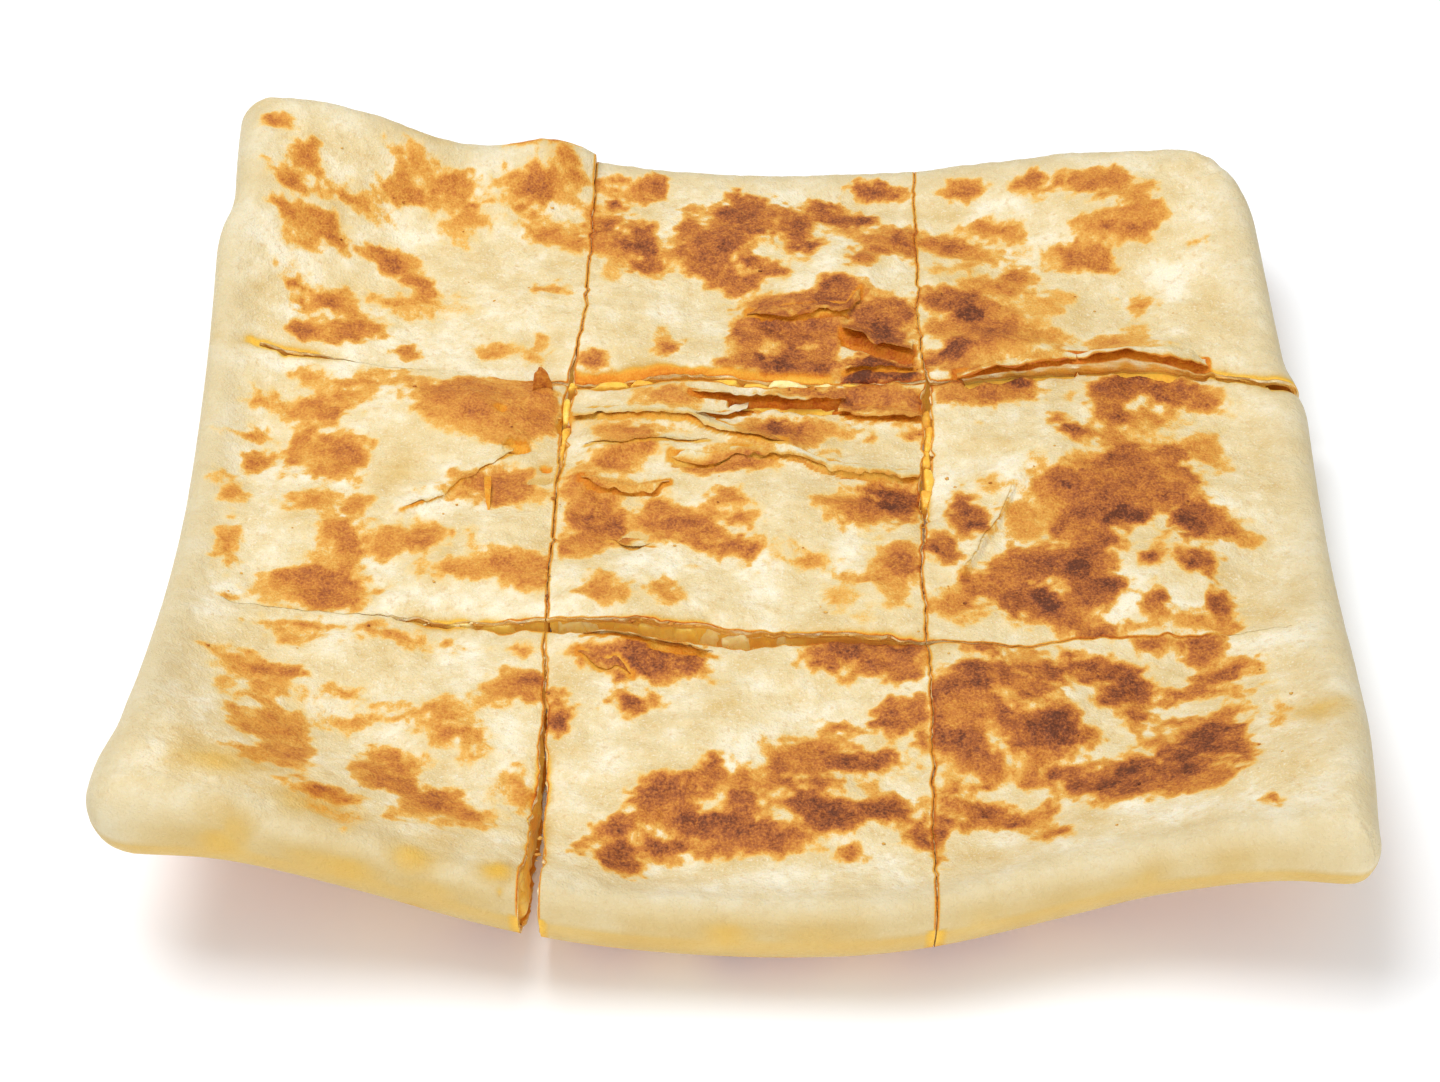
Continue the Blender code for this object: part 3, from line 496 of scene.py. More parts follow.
        (15, 19, 2.5, 1.9, 0.48), (2, 18, 2.1, 2.1, 0.56), (7, 16, 4.2, 2.0, 0.5), (3, 15, 2.5, 2.1, 0.44),
        (29, 19, 1.9, 1.1, 0.68), (21, 18, 0.7, 0.8, 0.68), (15, 13, 1.3, 1.0, 0.5),
        (-20, 17, 4.2, 2.4, 0.52), (-17, 18, 2.5, 1.3, 0.52), (-21, 15, 2.5, 1.4, 0.5),
        (-23, 21, 5.1, 0.8, 0.3), (-16, 13, 3.4, 1.2, 0.54), (-18, 12, 2.5, 1.2, 0.5),
        (-22, 9, 2.9, 1.8, 0.58), (-23, 9, 1.5, 1.2, 0.62), (-20, 10, 2.1, 1.5, 0.5),
        (0, 11, 2.5, 1.4, 0.64), (-1, 10, 3.3, 1.8, 0.64), (-3, 9, 3.3, 1.8, 0.62), (-6, 9, 3.4, 2.1, 0.54),
        (3, 9, 2.1, 1.2, 0.5), (-20, 4, 3.7, 1.1, 0.48), (-15, 5, 2.1, 1.1, 0.5), (-24, 4, 2.1, 0.8, 0.5),
        (-27, 3, 1.2, 2.3, 0.52), (-24, 0, 3.3, 2.7, 0.64), (-23, 1, 2.5, 1.6, 0.68),
        (-25, -4, 2.9, 2.9, 0.66), (-20, -4, 2.1, 3.6, 0.64), (-21, -6, 1.6, 1.9, 0.68),
        (-23, -8, 2.9, 2.6, 0.6), (-27, -11, 2.4, 2.6, 0.54), (-24, -10, 2.4, 2.0, 0.52),
        (-26, -1, 1.7, 3.3, 0.56), (-24, -3, 1.6, 1.7, 0.75), (-20, -1, 1.2, 2.3, 0.56),
        (-12, -2, 4.1, 2.5, 0.54), (-11, -5, 4.5, 1.8, 0.72), (-9, -5, 2.5, 1.4, 0.75),
        (-14, -5, 1.6, 1.9, 0.68), (-14, -1, 2.1, 2.5, 0.56), (-6, -4, 2.0, 1.7, 0.5),
        (-9, -7, 4.1, 1.4, 0.62), (-12, -8, 3.3, 1.0, 0.5), (-4, -9, 4.1, 1.4, 0.62),
        (-1, -10, 3.3, 2.2, 0.64), (-2, -9, 2.4, 1.1, 0.73), (1, -12, 2.0, 1.4, 0.68),
        (2, -11, 1.2, 1.4, 0.56), (-6, -9, 2.0, 0.9, 0.54), (-2, 1, 2.3, 1.7, 0.54),
        (-2, 2, 1.2, 1.0, 0.58), (0, -3, 2.5, 1.7, 0.54), (-1, -3, 1.2, 0.9, 0.58), (17, 0, 3.8, 1.9, 0.58),
        (15, 0, 1.7, 1.3, 0.62), (21, -1, 3.8, 2.6, 0.64), (19, -3, 3.7, 1.9, 0.56), (25, 4, 3.8, 1.9, 0.85),
        (24, 1, 3.3, 2.0, 0.93), (27, 1, 2.1, 1.8, 0.88), (23, 4, 2.5, 1.3, 0.81), (28, 4, 1.7, 1.7, 0.79),
        (21, 2, 1.7, 1.3, 0.75), (25, -2, 3.3, 1.1, 0.64), (24, 6, 2.5, 0.9, 0.62),
        (12, -13, 2.8, 1.2, 0.54), (11, -14, 2.0, 1.1, 0.5), (26, -14, 2.8, 3.8, 0.6),
        (27, -15, 2.0, 1.8, 0.7), (25, -10, 2.8, 1.7, 0.42), (27, -12, 2.0, 2.0, 0.54),
        (23, -18, 3.6, 1.8, 0.44), (25, -20, 2.0, 3.3, 0.42), (28, -17, 1.6, 1.7, 0.56),
        (-12, -20, 2.4, 1.9, 0.46), (-11, -22, 2.4, 1.9, 0.52), (-22, -20, 2.0, 3.4, 0.48),
        (-23, -23, 2.4, 1.9, 0.56), (-19, -22, 2.0, 1.9, 0.5), (-21, -22, 2.4, 1.9, 0.52),
        (17, -22, 4.0, 2.5, 0.26), (19, -26, 2.4, 1.7, 0.3),
    ],
    (2, 1): [
        (65, 14, 4.5, 4.1, 0.7), (71, 15, 3.8, 4.1, 0.72), (77, 17, 3.1, 3.0, 0.5),
        (79, 14, 2.1, 3.1, 0.42), (60, 10, 4.5, 4.6, 0.68), (69, 8, 6.8, 5.5, 0.66),
        (54, 7, 3.3, 4.5, 0.72), (53, 6, 1.3, 1.6, 0.94), (61, 4, 5.9, 5.0, 0.68), (50, 4, 2.6, 4.8, 0.55),
        (49, 12, 2.2, 2.4, 0.35), (70, 4, 4.4, 3.4, 0.6), (63, 0, 3.3, 2.6, 0.97), (60, -1, 1.6, 2.3, 0.92),
        (56, -2, 5.1, 4.8, 0.66), (52, -4, 1.8, 2.0, 0.82), (46, -2, 3.7, 5.0, 0.42),
        (58, -7, 4.3, 2.8, 0.72), (75, 0, 3.7, 4.1, 0.7), (72, -2, 1.8, 2.5, 0.88),
        (74, -4, 2.2, 4.0, 0.84), (78, -4, 3.0, 3.3, 0.6), (82, -5, 3.4, 1.8, 0.45),
        (73, -12, 3.8, 2.7, 0.72), (73, -13, 1.5, 1.1, 0.88), (66, -12, 1.7, 1.9, 0.72),
        (66, -21, 2.3, 3.5, 0.75), (53, -12, 7.9, 4.5, 0.7), (55, -14, 2.5, 3.5, 0.92),
        (48, -13, 4.3, 3.4, 0.74), (43, -15, 4.3, 3.8, 0.72), (39, -18, 4.3, 3.7, 0.66),
        (49, -21, 3.2, 3.6, 0.97), (57, -19, 4.2, 4.2, 0.75), (45, -21, 4.3, 4.2, 0.72),
        (52, -24, 4.2, 3.5, 0.66), (58, -18, 2.1, 2.4, 0.88), (35, -23, 3.6, 3.0, 0.6),
        (33, -24, 2.9, 1.8, 0.5), (49, -26, 3.5, 1.5, 0.55), (56, -27, 4.2, 1.3, 0.72),
        (57, -28, 2.1, 1.0, 0.88), (76, -22, 2.3, 4.2, 0.72), (77, -23, 1.4, 2.2, 0.82),
        (72, -26, 3.2, 1.7, 0.55), (76, -27, 2.1, 1.7, 0.6), (37, -2, 3.3, 4.5, 0.72),
        (36, 0, 1.8, 2.5, 0.86), (38, -4, 1.5, 1.8, 0.86), (33, -10, 3.3, 3.6, 0.7),
        (32, -11, 1.6, 1.7, 0.86), (41, 6, 2.6, 2.2, 0.42), (39, 33, 7.1, 2.2, 0.7),
        (47, 34, 3.5, 1.9, 0.88), (36, 29, 3.9, 3.0, 0.55), (42, 29, 4.7, 2.6, 0.62),
        (49, 31, 2.7, 1.8, 0.55), (55, 20, 2.7, 2.1, 0.75), (54, 21, 1.2, 1.1, 0.86),
        (64, 33, 5.4, 3.2, 0.72), (63, 31, 3.8, 2.9, 0.7), (67, 35, 2.3, 1.3, 0.86),
        (72, 32, 6.1, 2.7, 0.7), (71, 30, 2.3, 1.7, 0.86), (77, 30, 3.0, 2.4, 0.6),
        (78, 29, 1.5, 1.1, 0.78), (62, 25, 4.3, 3.3, 0.66), (62, 24, 1.6, 1.8, 0.82),
        (69, 25, 3.0, 2.3, 0.55), (61, 19, 3.1, 2.2, 0.5), (74, 24, 3.8, 1.7, 0.3),
    ],
    (0, 0): [
        (-72, -31, 2.9, 0.8, 0.47), (-68, -31, 3.3, 1.3, 0.54), (-66, -31, 1.5, 0.9, 0.51),
        (-57, -31, 2.6, 1.8, 0.47), (-54, -33, 3.3, 1.0, 0.51), (-51, -33, 1.8, 0.7, 0.47),
        (-49, -29, 1.8, 0.7, 0.47), (-45, -33, 2.2, 1.3, 0.48), (-33, -35, 2.6, 1.0, 0.47),
        (-69, -35, 3.0, 1.5, 0.48), (-80, -41, 2.2, 1.2, 0.47), (-77, -41, 1.8, 1.2, 0.47),
        (-72, -43, 3.9, 2.2, 0.58), (-69, -43, 2.2, 2.1, 0.63), (-74, -43, 2.1, 1.6, 0.51),
        (-71, -47, 3.2, 2.2, 0.47), (-73, -48, 1.1, 2.0, 0.51), (-78, -48, 1.5, 3.4, 0.33),
        (-61, -46, 2.5, 1.4, 0.56), (-60, -46, 1.4, 0.9, 0.51), (-61, -52, 1.8, 1.3, 0.48),
        (-58, -51, 0.7, 1.2, 0.47), (-47, -50, 4.0, 1.4, 0.52), (-45, -49, 2.9, 1.7, 0.54),
        (-52, -51, 2.9, 0.8, 0.47), (-33, -42, 4.0, 2.6, 0.56), (-32, -42, 2.5, 2.1, 0.69),
        (-32, -45, 2.5, 2.6, 0.56), (-36, -44, 2.2, 2.7, 0.47), (-74, -58, 2.0, 3.0, 0.47),
        (-72, -61, 2.0, 1.8, 0.58), (-69, -57, 3.0, 3.7, 0.52), (-70, -56, 1.5, 1.9, 0.58),
        (-66, -56, 2.6, 2.9, 0.48), (-70, -60, 2.4, 2.0, 0.47), (-73, -69, 1.6, 1.1, 0.47),
        (-70, -69, 2.0, 2.9, 0.5), (-67, -66, 3.6, 4.2, 0.52), (-66, -66, 1.6, 1.8, 0.61),
        (-64, -67, 1.9, 3.7, 0.45), (-60, -75, 2.2, 2.2, 0.54), (-60, -75, 0.9, 1.0, 0.63),
        (-57, -76, 1.9, 1.7, 0.47), (-56, -81, 2.2, 2.0, 0.23), (-52, -63, 4.2, 3.7, 0.54),
        (-51, -60, 2.1, 2.2, 0.48), (-55, -66, 2.9, 3.8, 0.47), (-50, -67, 3.9, 3.1, 0.6),
        (-49, -63, 2.1, 2.2, 0.47), (-44, -70, 4.2, 3.3, 0.6), (-44, -71, 1.8, 2.0, 0.67),
        (-39, -72, 3.5, 2.6, 0.6), (-38, -72, 1.1, 1.3, 0.67), (-46, -74, 2.8, 2.2, 0.47),
        (-41, -75, 3.9, 1.1, 0.47), (-41, -54, 2.9, 1.5, 0.5), (-42, -55, 1.8, 1.0, 0.58),
        (-40, -59, 1.8, 1.2, 0.53), (-32, -66, 1.8, 3.8, 0.47), (-32, -64, 1.1, 1.9, 0.54),
        (-34, -65, 1.8, 2.4, 0.35),
    ],
    (1, 0): [
        (-16, -79, 4.0, 3.9, 0.75), (-16, -79, 2.0, 2.3, 0.77), (-22, -78, 1.2, 1.5, 0.72),
        (-16, -72, 3.2, 2.3, 0.76), (-16, -73, 1.6, 1.2, 0.8), (-12, -68, 2.4, 2.5, 0.75),
        (-11, -66, 3.2, 2.5, 0.72), (-9, -65, 2.0, 2.0, 0.77), (-6, -62, 1.8, 1.0, 0.77),
        (-3, -60, 1.8, 2.4, 0.77), (-4, -64, 2.0, 1.5, 0.79), (-8, -70, 2.8, 2.1, 0.79),
        (-4, -71, 2.4, 2.4, 0.78), (-7, -75, 2.0, 1.6, 0.77), (-10, -76, 2.4, 1.9, 0.72),
        (-2, -76, 2.4, 2.0, 0.77), (1, -72, 4.0, 4.2, 0.77), (2, -67, 3.6, 3.2, 0.69),
        (2, -63, 2.4, 3.2, 0.59), (5, -74, 3.2, 3.1, 0.77), (7, -77, 2.4, 1.4, 0.75),
        (9, -75, 2.4, 1.9, 0.75), (12, -67, 2.4, 2.4, 0.8), (10, -68, 2.4, 2.9, 0.82),
        (15, -68, 2.4, 2.6, 0.79), (14, -71, 3.6, 2.7, 0.79), (17, -70, 2.8, 2.6, 0.81),
        (21, -68, 2.4, 2.1, 0.8), (23, -67, 2.4, 2.7, 0.8), (25, -68, 1.6, 1.8, 0.75),
        (7, -59, 1.6, 3.0, 0.72), (13, -63, 2.4, 1.6, 0.76), (8, -63, 1.6, 1.9, 0.76),
        (10, -55, 2.9, 1.8, 0.63), (11, -58, 4.0, 3.2, 0.59), (17, -58, 3.6, 2.8, 0.75),
        (15, -56, 2.4, 1.9, 0.71), (21, -58, 2.8, 1.8, 0.76), (23, -56, 2.8, 1.7, 0.72),
        (16, -51, 2.4, 1.8, 0.61), (24, -50, 3.7, 2.8, 0.72), (25, -48, 2.0, 1.9, 0.77),
        (25, -48, 0.4, 0.7, 0.8), (14, -55, 0.4, 0.6, 0.8), (28, -48, 1.6, 3.3, 0.72),
        (29, -54, 1.2, 1.6, 0.72), (18, -78, 1.4, 1.9, 0.72), (28, -71, 1.6, 2.0, 0.76),
        (29, -74, 1.6, 2.7, 0.77), (-15, -46, 3.7, 2.3, 0.76), (-26, -50, 1.8, 3.5, 0.76),
        (-27, -52, 1.0, 2.3, 0.78), (-6, -64, 0.6, 0.7, 0.8), (-15, -37, 5.2, 2.7, 0.77),
        (-19, -37, 5.2, 2.2, 0.72), (-11, -37, 4.8, 2.6, 0.76), (-14, -39, 3.6, 2.1, 0.78),
        (-7, -38, 2.8, 2.7, 0.75), (-17, -36, 2.4, 1.4, 0.8), (21, -31, 7.6, 2.2, 0.77),
        (17, -33, 3.2, 2.2, 0.77), (18, -35, 3.6, 2.6, 0.76), (25, -34, 4.0, 2.3, 0.75),
        (15, -38, 2.4, 1.5, 0.72), (22, -37, 2.8, 2.2, 0.75), (27, -31, 2.4, 1.4, 0.76),
        (26, -39, 2.8, 2.9, 0.72), (13, -36, 3.6, 2.2, 0.63),
    ],
    (2, 0): [
        (38, -39, 7.0, 2.9, 0.73), (38, -41, 2.3, 2.5, 0.84), (33, -42, 2.8, 2.7, 0.73),
        (31, -44, 1.8, 2.2, 0.77), (31, -50, 1.4, 1.8, 0.75), (45, -37, 1.9, 1.9, 0.68),
        (49, -38, 2.4, 1.9, 0.89), (47, -41, 2.8, 1.9, 0.77), (45, -43, 1.9, 1.5, 0.83),
        (42, -40, 2.8, 2.9, 0.69), (54, -36, 2.4, 1.8, 0.82), (55, -37, 3.8, 2.1, 0.73),
        (52, -34, 1.4, 1.0, 0.73), (59, -36, 3.3, 1.9, 0.77), (61, -37, 2.4, 2.2, 0.82),
        (60, -40, 2.8, 2.6, 0.77), (58, -43, 2.4, 1.7, 0.75), (62, -41, 1.4, 2.0, 0.73),
        (58, -36, 1.4, 1.3, 0.83), (36, -47, 5.5, 3.2, 0.56), (34, -45, 3.7, 1.9, 0.58),
        (40, -45, 3.7, 1.3, 0.56), (42, -48, 1.6, 2.1, 0.84), (42, -48, 0.9, 1.2, 0.85),
        (33, -52, 2.7, 2.4, 0.89), (32, -51, 2.3, 2.4, 0.8), (35, -54, 2.3, 2.4, 0.76),
        (36, -52, 1.4, 2.4, 0.67), (34, -49, 3.2, 3.0, 0.58), (48, -52, 4.6, 3.6, 0.75),
        (49, -49, 3.3, 2.9, 0.77), (46, -54, 2.7, 1.7, 0.82), (50, -51, 2.3, 2.5, 0.82),
        (52, -53, 0.6, 0.7, 0.9), (53, -52, 2.8, 2.5, 0.71), (51, -47, 1.9, 2.0, 0.6),
        (47, -56, 2.7, 0.8, 0.58), (38, -56, 1.4, 1.2, 0.73), (38, -56, 0.7, 0.6, 0.82),
        (39, -59, 2.3, 1.7, 0.68), (36, -58, 2.7, 1.8, 0.58), (38, -62, 1.8, 1.7, 0.6),
        (34, -63, 1.1, 0.9, 0.71), (33, -66, 1.6, 1.1, 0.68), (31, -57, 1.4, 0.8, 0.73),
        (48, -60, 3.1, 1.4, 0.75), (49, -59, 1.6, 0.9, 0.8), (45, -61, 2.2, 1.4, 0.68),
        (55, -58, 2.2, 1.0, 0.58), (64, -53, 2.2, 1.2, 0.58), (61, -48, 2.3, 1.5, 0.75),
        (61, -47, 1.1, 0.8, 0.82), (68, -49, 1.3, 1.0, 0.69), (70, -42, 3.4, 1.7, 0.75),
        (76, -38, 3.7, 1.6, 0.73), (77, -38, 1.4, 1.2, 0.79), (73, -39, 1.6, 1.0, 0.6),
        (78, -36, 1.4, 1.0, 0.58), (73, -31, 3.2, 2.9, 0.75), (72, -30, 1.8, 1.6, 0.82),
        (73, -34, 2.3, 1.3, 0.75), (75, -31, 1.4, 1.7, 0.58), (65, -30, 2.1, 1.0, 0.71),
        (65, -30, 0.9, 0.6, 0.8), (77, -42, 1.6, 0.9, 0.58), (53, -63, 2.7, 2.2, 0.83),
        (56, -63, 2.7, 2.3, 0.89), (59, -60, 2.7, 2.4, 0.89), (61, -59, 2.7, 2.1, 0.82),
        (64, -63, 5.3, 3.3, 0.71), (59, -65, 4.4, 3.3, 0.73), (68, -59, 2.6, 2.5, 0.89),
        (69, -62, 2.7, 2.6, 0.87), (66, -57, 2.6, 2.1, 0.79), (71, -54, 2.7, 3.0, 0.87),
        (69, -55, 2.2, 2.6, 0.82), (73, -57, 3.1, 3.5, 0.76), (73, -52, 2.7, 2.6, 0.82),
        (75, -59, 2.3, 3.6, 0.71), (76, -56, 2.2, 3.5, 0.69), (71, -66, 2.7, 2.2, 0.58),
        (66, -66, 4.4, 2.0, 0.58), (72, -64, 2.3, 2.7, 0.58), (56, -67, 2.6, 1.6, 0.58),
        (51, -64, 1.3, 1.2, 0.73), (52, -63, 0.5, 0.6, 0.9), (75, -52, 2.2, 2.1, 0.73),
        (72, -49, 1.3, 1.2, 0.68), (75, -48, 2.7, 1.0, 0.58), (83, -51, 1.2, 3.4, 0.38),
        (78, -75, 1.1, 1.2, 0.6), (33, -70, 2.7, 1.2, 0.87), (32, -71, 2.0, 1.2, 0.79),
        (37, -68, 2.7, 1.5, 0.75), (39, -68, 2.7, 1.2, 0.71), (42, -69, 2.6, 1.7, 0.76),
        (43, -68, 1.3, 0.9, 0.83), (46, -67, 1.3, 0.9, 0.71), (36, -67, 0.9, 0.7, 0.69),
        (31, -74, 0.9, 1.9, 0.73), (45, -68, 1.3, 1.0, 0.58), (48, -74, 2.7, 1.8, 0.67),
        (39, -33, 2.8, 1.8, 0.71),
    ],
}


def scorch_field(x, y, marks):
    """Heat from 0 to 1.  The signed distance into each oval is joined to its neighbours' by a
    soft maximum, made uneven by noise, and turned into a soft edge inside a broken golden halo."""
    xw = x + 0.8 * mottle(x, y, 4.6, 41) + 0.5 * mottle(x, y, 2.1, 42)
    yw = y + 0.8 * mottle(x, y, 4.6, 43) + 0.5 * mottle(x, y, 2.1, 44)
    total = np.full(x.shape, 1e-9)
    hot = np.full(x.shape, 1e-9)
    spot = np.zeros_like(x)
    for mx, my, long, wide, strength in marks:
        inside = (1.0 - np.hypot((xw - mx) / long, (yw - my) / wide)) * min(long, wide)
        weight = np.exp(np.clip(inside, -9.0, 3.0) / 0.9)
        total += weight
        hot += weight * strength
        spot = np.maximum(spot, strength * ease(inside / 1.3 + 0.3))
    inside = 0.9 * np.log(total)
    uneven = 0.6 * mottle(x, y, 3.0, 45) + 0.7 * mottle(x, y, 1.5, 46) + 0.55 * mottle(x, y, 0.8, 47)
    strength = np.maximum(hot / total, spot) + 0.08 * mottle(x, y, 5.0, 49) + 0.07 * mottle(x, y, 2.2, 50)
    core = ease((inside + uneven) / 2.6 + 0.5) * (0.84 + 0.16 * ease(inside / 2.0))
    halo = 0.22 * ease((inside + 0.1 + 1.3 * uneven) / 3.0 + 0.6)
    faint = 0.08 * ease((inside + 2.0 + 1.5 * uneven) / 4.0 + 0.5)
    return np.clip(np.maximum(strength * core, np.maximum(halo, faint)), 0.0, 1.0)


def scattered_marks(marks, count, seed):
    """Small pale spots in the neighbourhood of the large ones."""
    rng = np.random.default_rng(seed)
    spots = []
    for px, py, long, wide, _ in [marks[n] for n in rng.integers(0, len(marks), count)]:
        angle = rng.uniform(0, 2 * math.pi)
        out = 1.2 + 0.9 * rng.random()
        size = 0.3 + 0.75 * rng.random() ** 2
        spots.append((px + out * (long + 0.8) * math.cos(angle), py + out * (wide + 0.8) * math.sin(angle),
                      1.35 * size, size, rng.uniform(0.3, 0.6)))
    return spots


SPOTS = 32               # small scattered spots on each slice
HEAT = np.zeros_like(PLAN_X)
for column in range(3):
    for row in range(3):
        area = (slice_lines(column), slice_lines(row))
        marks = SCORCHES[(column, row)]
        marks = marks + scattered_marks(marks, SPOTS, 300 + column * 3 + row)
        HEAT[area] = scorch_field(PLAN_X[area], PLAN_Y[area], marks)

# Places where egg has soaked through: (x, y, radius, strength).
SOAKED = [(-56, 7, 8, 0.45), (-74, -74, 11, 0.6), (-60, -80, 11, 0.6), (-45, -86, 8, 0.7), (-33, -87, 6, 0.8),
          (88, -52, 6, 0.6), (-33, 8, 3.5, 0.7), (-32.5, -90.5, 2.6, 1.2), (-71, -88, 7, 0.6),
          (-60, 90, 9, 0.3), (-38, 93, 7, 0.5)]
SOAK = np.zeros_like(PLAN_X)
for sx, sy, radius, strength in SOAKED:
    far = np.hypot(PLAN_X - sx, PLAN_Y - sy) + 1.6 * mottle(PLAN_X, PLAN_Y, 4.0, 51)
    SOAK = np.maximum(SOAK, strength * ease(1.0 - far / radius))


def beside_knife_lines(across_near, deep_near):
    """The largest value beside any knife line.  Each function is given the distance from a line,
    the line's number and where along the row its points lie."""
    total = np.zeros_like(PLAN_X)
    for part in range(3):
        rows = slice_lines(part)
        for end, line in ((SLICE_START[part], part), (SLICE_END[part], part + 1)):
            if line in (1, 2):
                across = np.abs(PLAN_X[rows] - PLAN_X[end][None])
                deep = np.abs(PLAN_Y[:, rows] - PLAN_Y[:, end][:, None])
                total[rows] = np.maximum(total[rows], across_near(across, line, end))
                total[:, rows] = np.maximum(total[:, rows], deep_near(deep, line, end))
    return total


def openness(gaps, line):
    """From 0.15 where a knife line is shut to 1 where it stands more than a millimetre open."""
    return np.minimum(follow(gaps[line], LINE_NOMINAL) / 1.2 + 0.15, 1.0)


def knife_nearness(reach):
    """How near each grid point is to a knife line: the exponential of minus distance over reach,
    weighted by how far the line stands open."""
    return beside_knife_lines(
        lambda far, line, end: openness(ACROSS_GAPS, line)[None] * np.exp(-far / reach),
        lambda far, line, end: openness(DEEP_GAPS, line)[:, None] * np.exp(-far / reach))


def knife_line_edge(reach):
    """1 on the lines of points beside a knife line, falling to 0 within reach of them.  A line
    across the bread has it only from a little left of the middle column to near its right end."""
    def deep_near(far, line, end):
        x = PLAN_X[:, end][:, None]
        return ease(1.0 - far / reach) * (ease((44.0 + x) / 8.0) * ease((80.0 - x) / 8.0))
    return beside_knife_lines(lambda far, line, end: ease(1.0 - far / reach), deep_near)


# Egg colours the skin along the cuts, in stretches.
stretches = ease(0.35 + 0.9 * mottle(PLAN_X, PLAN_Y, 9.0, 52) + 0.5 * mottle(PLAN_X, PLAN_Y, 3.0, 53))
SOAK = np.maximum(SOAK, 1.3 * stretches * knife_nearness(0.7))
# The folded front edge is yellow with butter and egg, most along the foot of the fold.
front_in = PLAN_Y - follow(OUTER_FRONT, PLAN_X)
sideways = ease((np.abs(PLAN_X) - 28.0) / 20.0)
foot = 0.30 * ease(1.0 - front_in / 3.5) + (0.10 + 0.08 * sideways) * ease(1.0 - front_in / 1.2)
SOAK = np.maximum(SOAK, (1.0 + 0.6 * mottle(PLAN_X, PLAN_Y * 0.5, 6.0, 54)) * foot
                  * ease((90.0 - np.abs(PLAN_X)) / 12.0))
# The back middle slice's front lip is soaked in egg, from orange at the left to yellow.
area = (slice_lines(1), slice_lines(2))
x, y = PLAN_X[area], PLAN_Y[area]
wet = ease(1.2 - (y - y[:, :1]) / (2.8 + 1.0 * mottle(x, y * 0.1, 5.0, 56))) * ease((17.0 - x) / 4.0)
SOAK[area] = np.maximum(SOAK[area], 1.5 * wet)
HEAT[area] += (0.16 + 0.14 * mottle(x, y, 4.0, 57) + 0.14 * ease(-x / 20.0) - HEAT[area]) * wet
# The very edge of each cut is painted golden brown and egg yellow: partly egg, partly painted shade of the narrow
# cut.
CREVICE_SHADE_REACH = 0.35       # mm
crevice_shade = knife_line_edge(CREVICE_SHADE_REACH)
HEAT = np.maximum(HEAT, (0.42 + 0.2 * mottle(PLAN_X, PLAN_Y, 5.0, 55)) * crevice_shade)
SOAK = np.maximum(SOAK, 1.1 * crevice_shade)
SKIN_HEAT, SKIN_SOAK = HEAT.copy(), SOAK.copy()     # of the layer above the hollows
DIP = np.zeros_like(PLAN_X)


def sink(area, inside, depth, soak, heat):
    """Lower the skin by depth inside a hollow, and give it the look of the layer below; under a lifted layer this
    tint is partly painted shade.
    """
    DIP[area] = np.maximum(DIP[area], depth * inside)
    shown = ease(inside * 1.6)
    SOAK[area] += (soak - SOAK[area]) * shown
    HEAT[area] += (heat - HEAT[area]) * shown


for (column, row), width, depth, soak, heat, points in HOLLOWS:
    area = (slice_lines(column), slice_lines(row))
    x, y = PLAN_X[area], PLAN_Y[area]
    behind, past_end = behind_line(x, y, points)
    ends = ease(1.0 - past_end / 1.2)
    reach = width * (0.8 + 0.3 * mottle(x, y * 0.1, 2.4, 34))
    sink(area, ends * ease((0.6 - behind) / 0.5) * ease((reach + behind) / (0.5 * reach)), depth, soak,
         heat + 0.1 * mottle(x, y, 2.0, 35))
for (column, row), bx, by, long, wide, turn, depth, soak, heat in TEARS:
    area = (slice_lines(column), slice_lines(row))
    c, s = math.cos(math.radians(turn)), math.sin(math.radians(turn))
    x = PLAN_X[area] - bx + 0.4 * mottle(PLAN_X[area], PLAN_Y[area], 1.7, 36)
    y = PLAN_Y[area] - by + 0.4 * mottle(PLAN_X[area], PLAN_Y[area], 1.7, 37)
    near = np.hypot((x * c + y * s) / long, (y * c - x * s) / wide)
    sink(area, ease((1.0 - near) * min(long, wide) / 0.45 + 0.5), depth, soak, heat)

for (column, row), depth, lift, _, _, _, _, points in LEAVES:
    area = (slice_lines(column), slice_lines(row))
    x, y = PLAN_X[area], PLAN_Y[area]
    behind, past_end = behind_line(x, y, points)
    shade = ease((lift - 0.3) / 0.9)        # painted shade: the higher the leaf, the deeper and more golden the skin tint below it
    under = depth * (0.2 + 0.5 * ease(lift / 0.6))
    sink(area, ease((behind + 0.5) / 0.5) * ease((under - behind) / 1.0) * ease(1.0 - past_end / 1.2),
         0.04 + 0.16 * shade, 0.75 + 0.25 * shade, 0.20 + 0.22 * shade + 0.12 * mottle(x, y, 2.5, 38))

# Fine unevenness, raised scorches and edges that droop or curl beside the knife lines.
SCORCH_HEIGHT = 0.16     # mean height in mm of the darkest scorch
edge_x, edge_y, _, _ = edge_distances(PLAN_X, PLAN_Y)
TO_EDGE = np.minimum(edge_x, edge_y)
FINE = (0.12 * mottle(PLAN_X * 0.3, PLAN_Y, 2.2, 60) + 0.26 * mottle(PLAN_X, PLAN_Y, 6.5, 61)
        + 0.19 * mottle(PLAN_X, PLAN_Y, 2.4, 62)
        + 0.11 * mottle(PLAN_X, PLAN_Y, 1.1, 63) + SCORCH_HEIGHT * HEAT * (1 + mottle(PLAN_X, PLAN_Y, 1.0, 64)))


# The skin bends down beside each knife line by a noisy depth, most where the line stands open.
DROOP_REACH = 1.2        # mm
DROOP = 0.5 + 0.45 * mottle(PLAN_X, PLAN_Y, 7.0, 71) + 0.2 * mottle(PLAN_X, PLAN_Y, 2.0, 72)
DROOP = DROOP * knife_nearness(DROOP_REACH)

ROUND = np.minimum(np.sin(LINE_TURN)[:, None], np.sin(LINE_TURN)[None, :])
middle = (top_low + top_high) / 2.0
half = (top_high - top_low) / 2.0
surface = RELIEF + FINE - DROOP - DIP


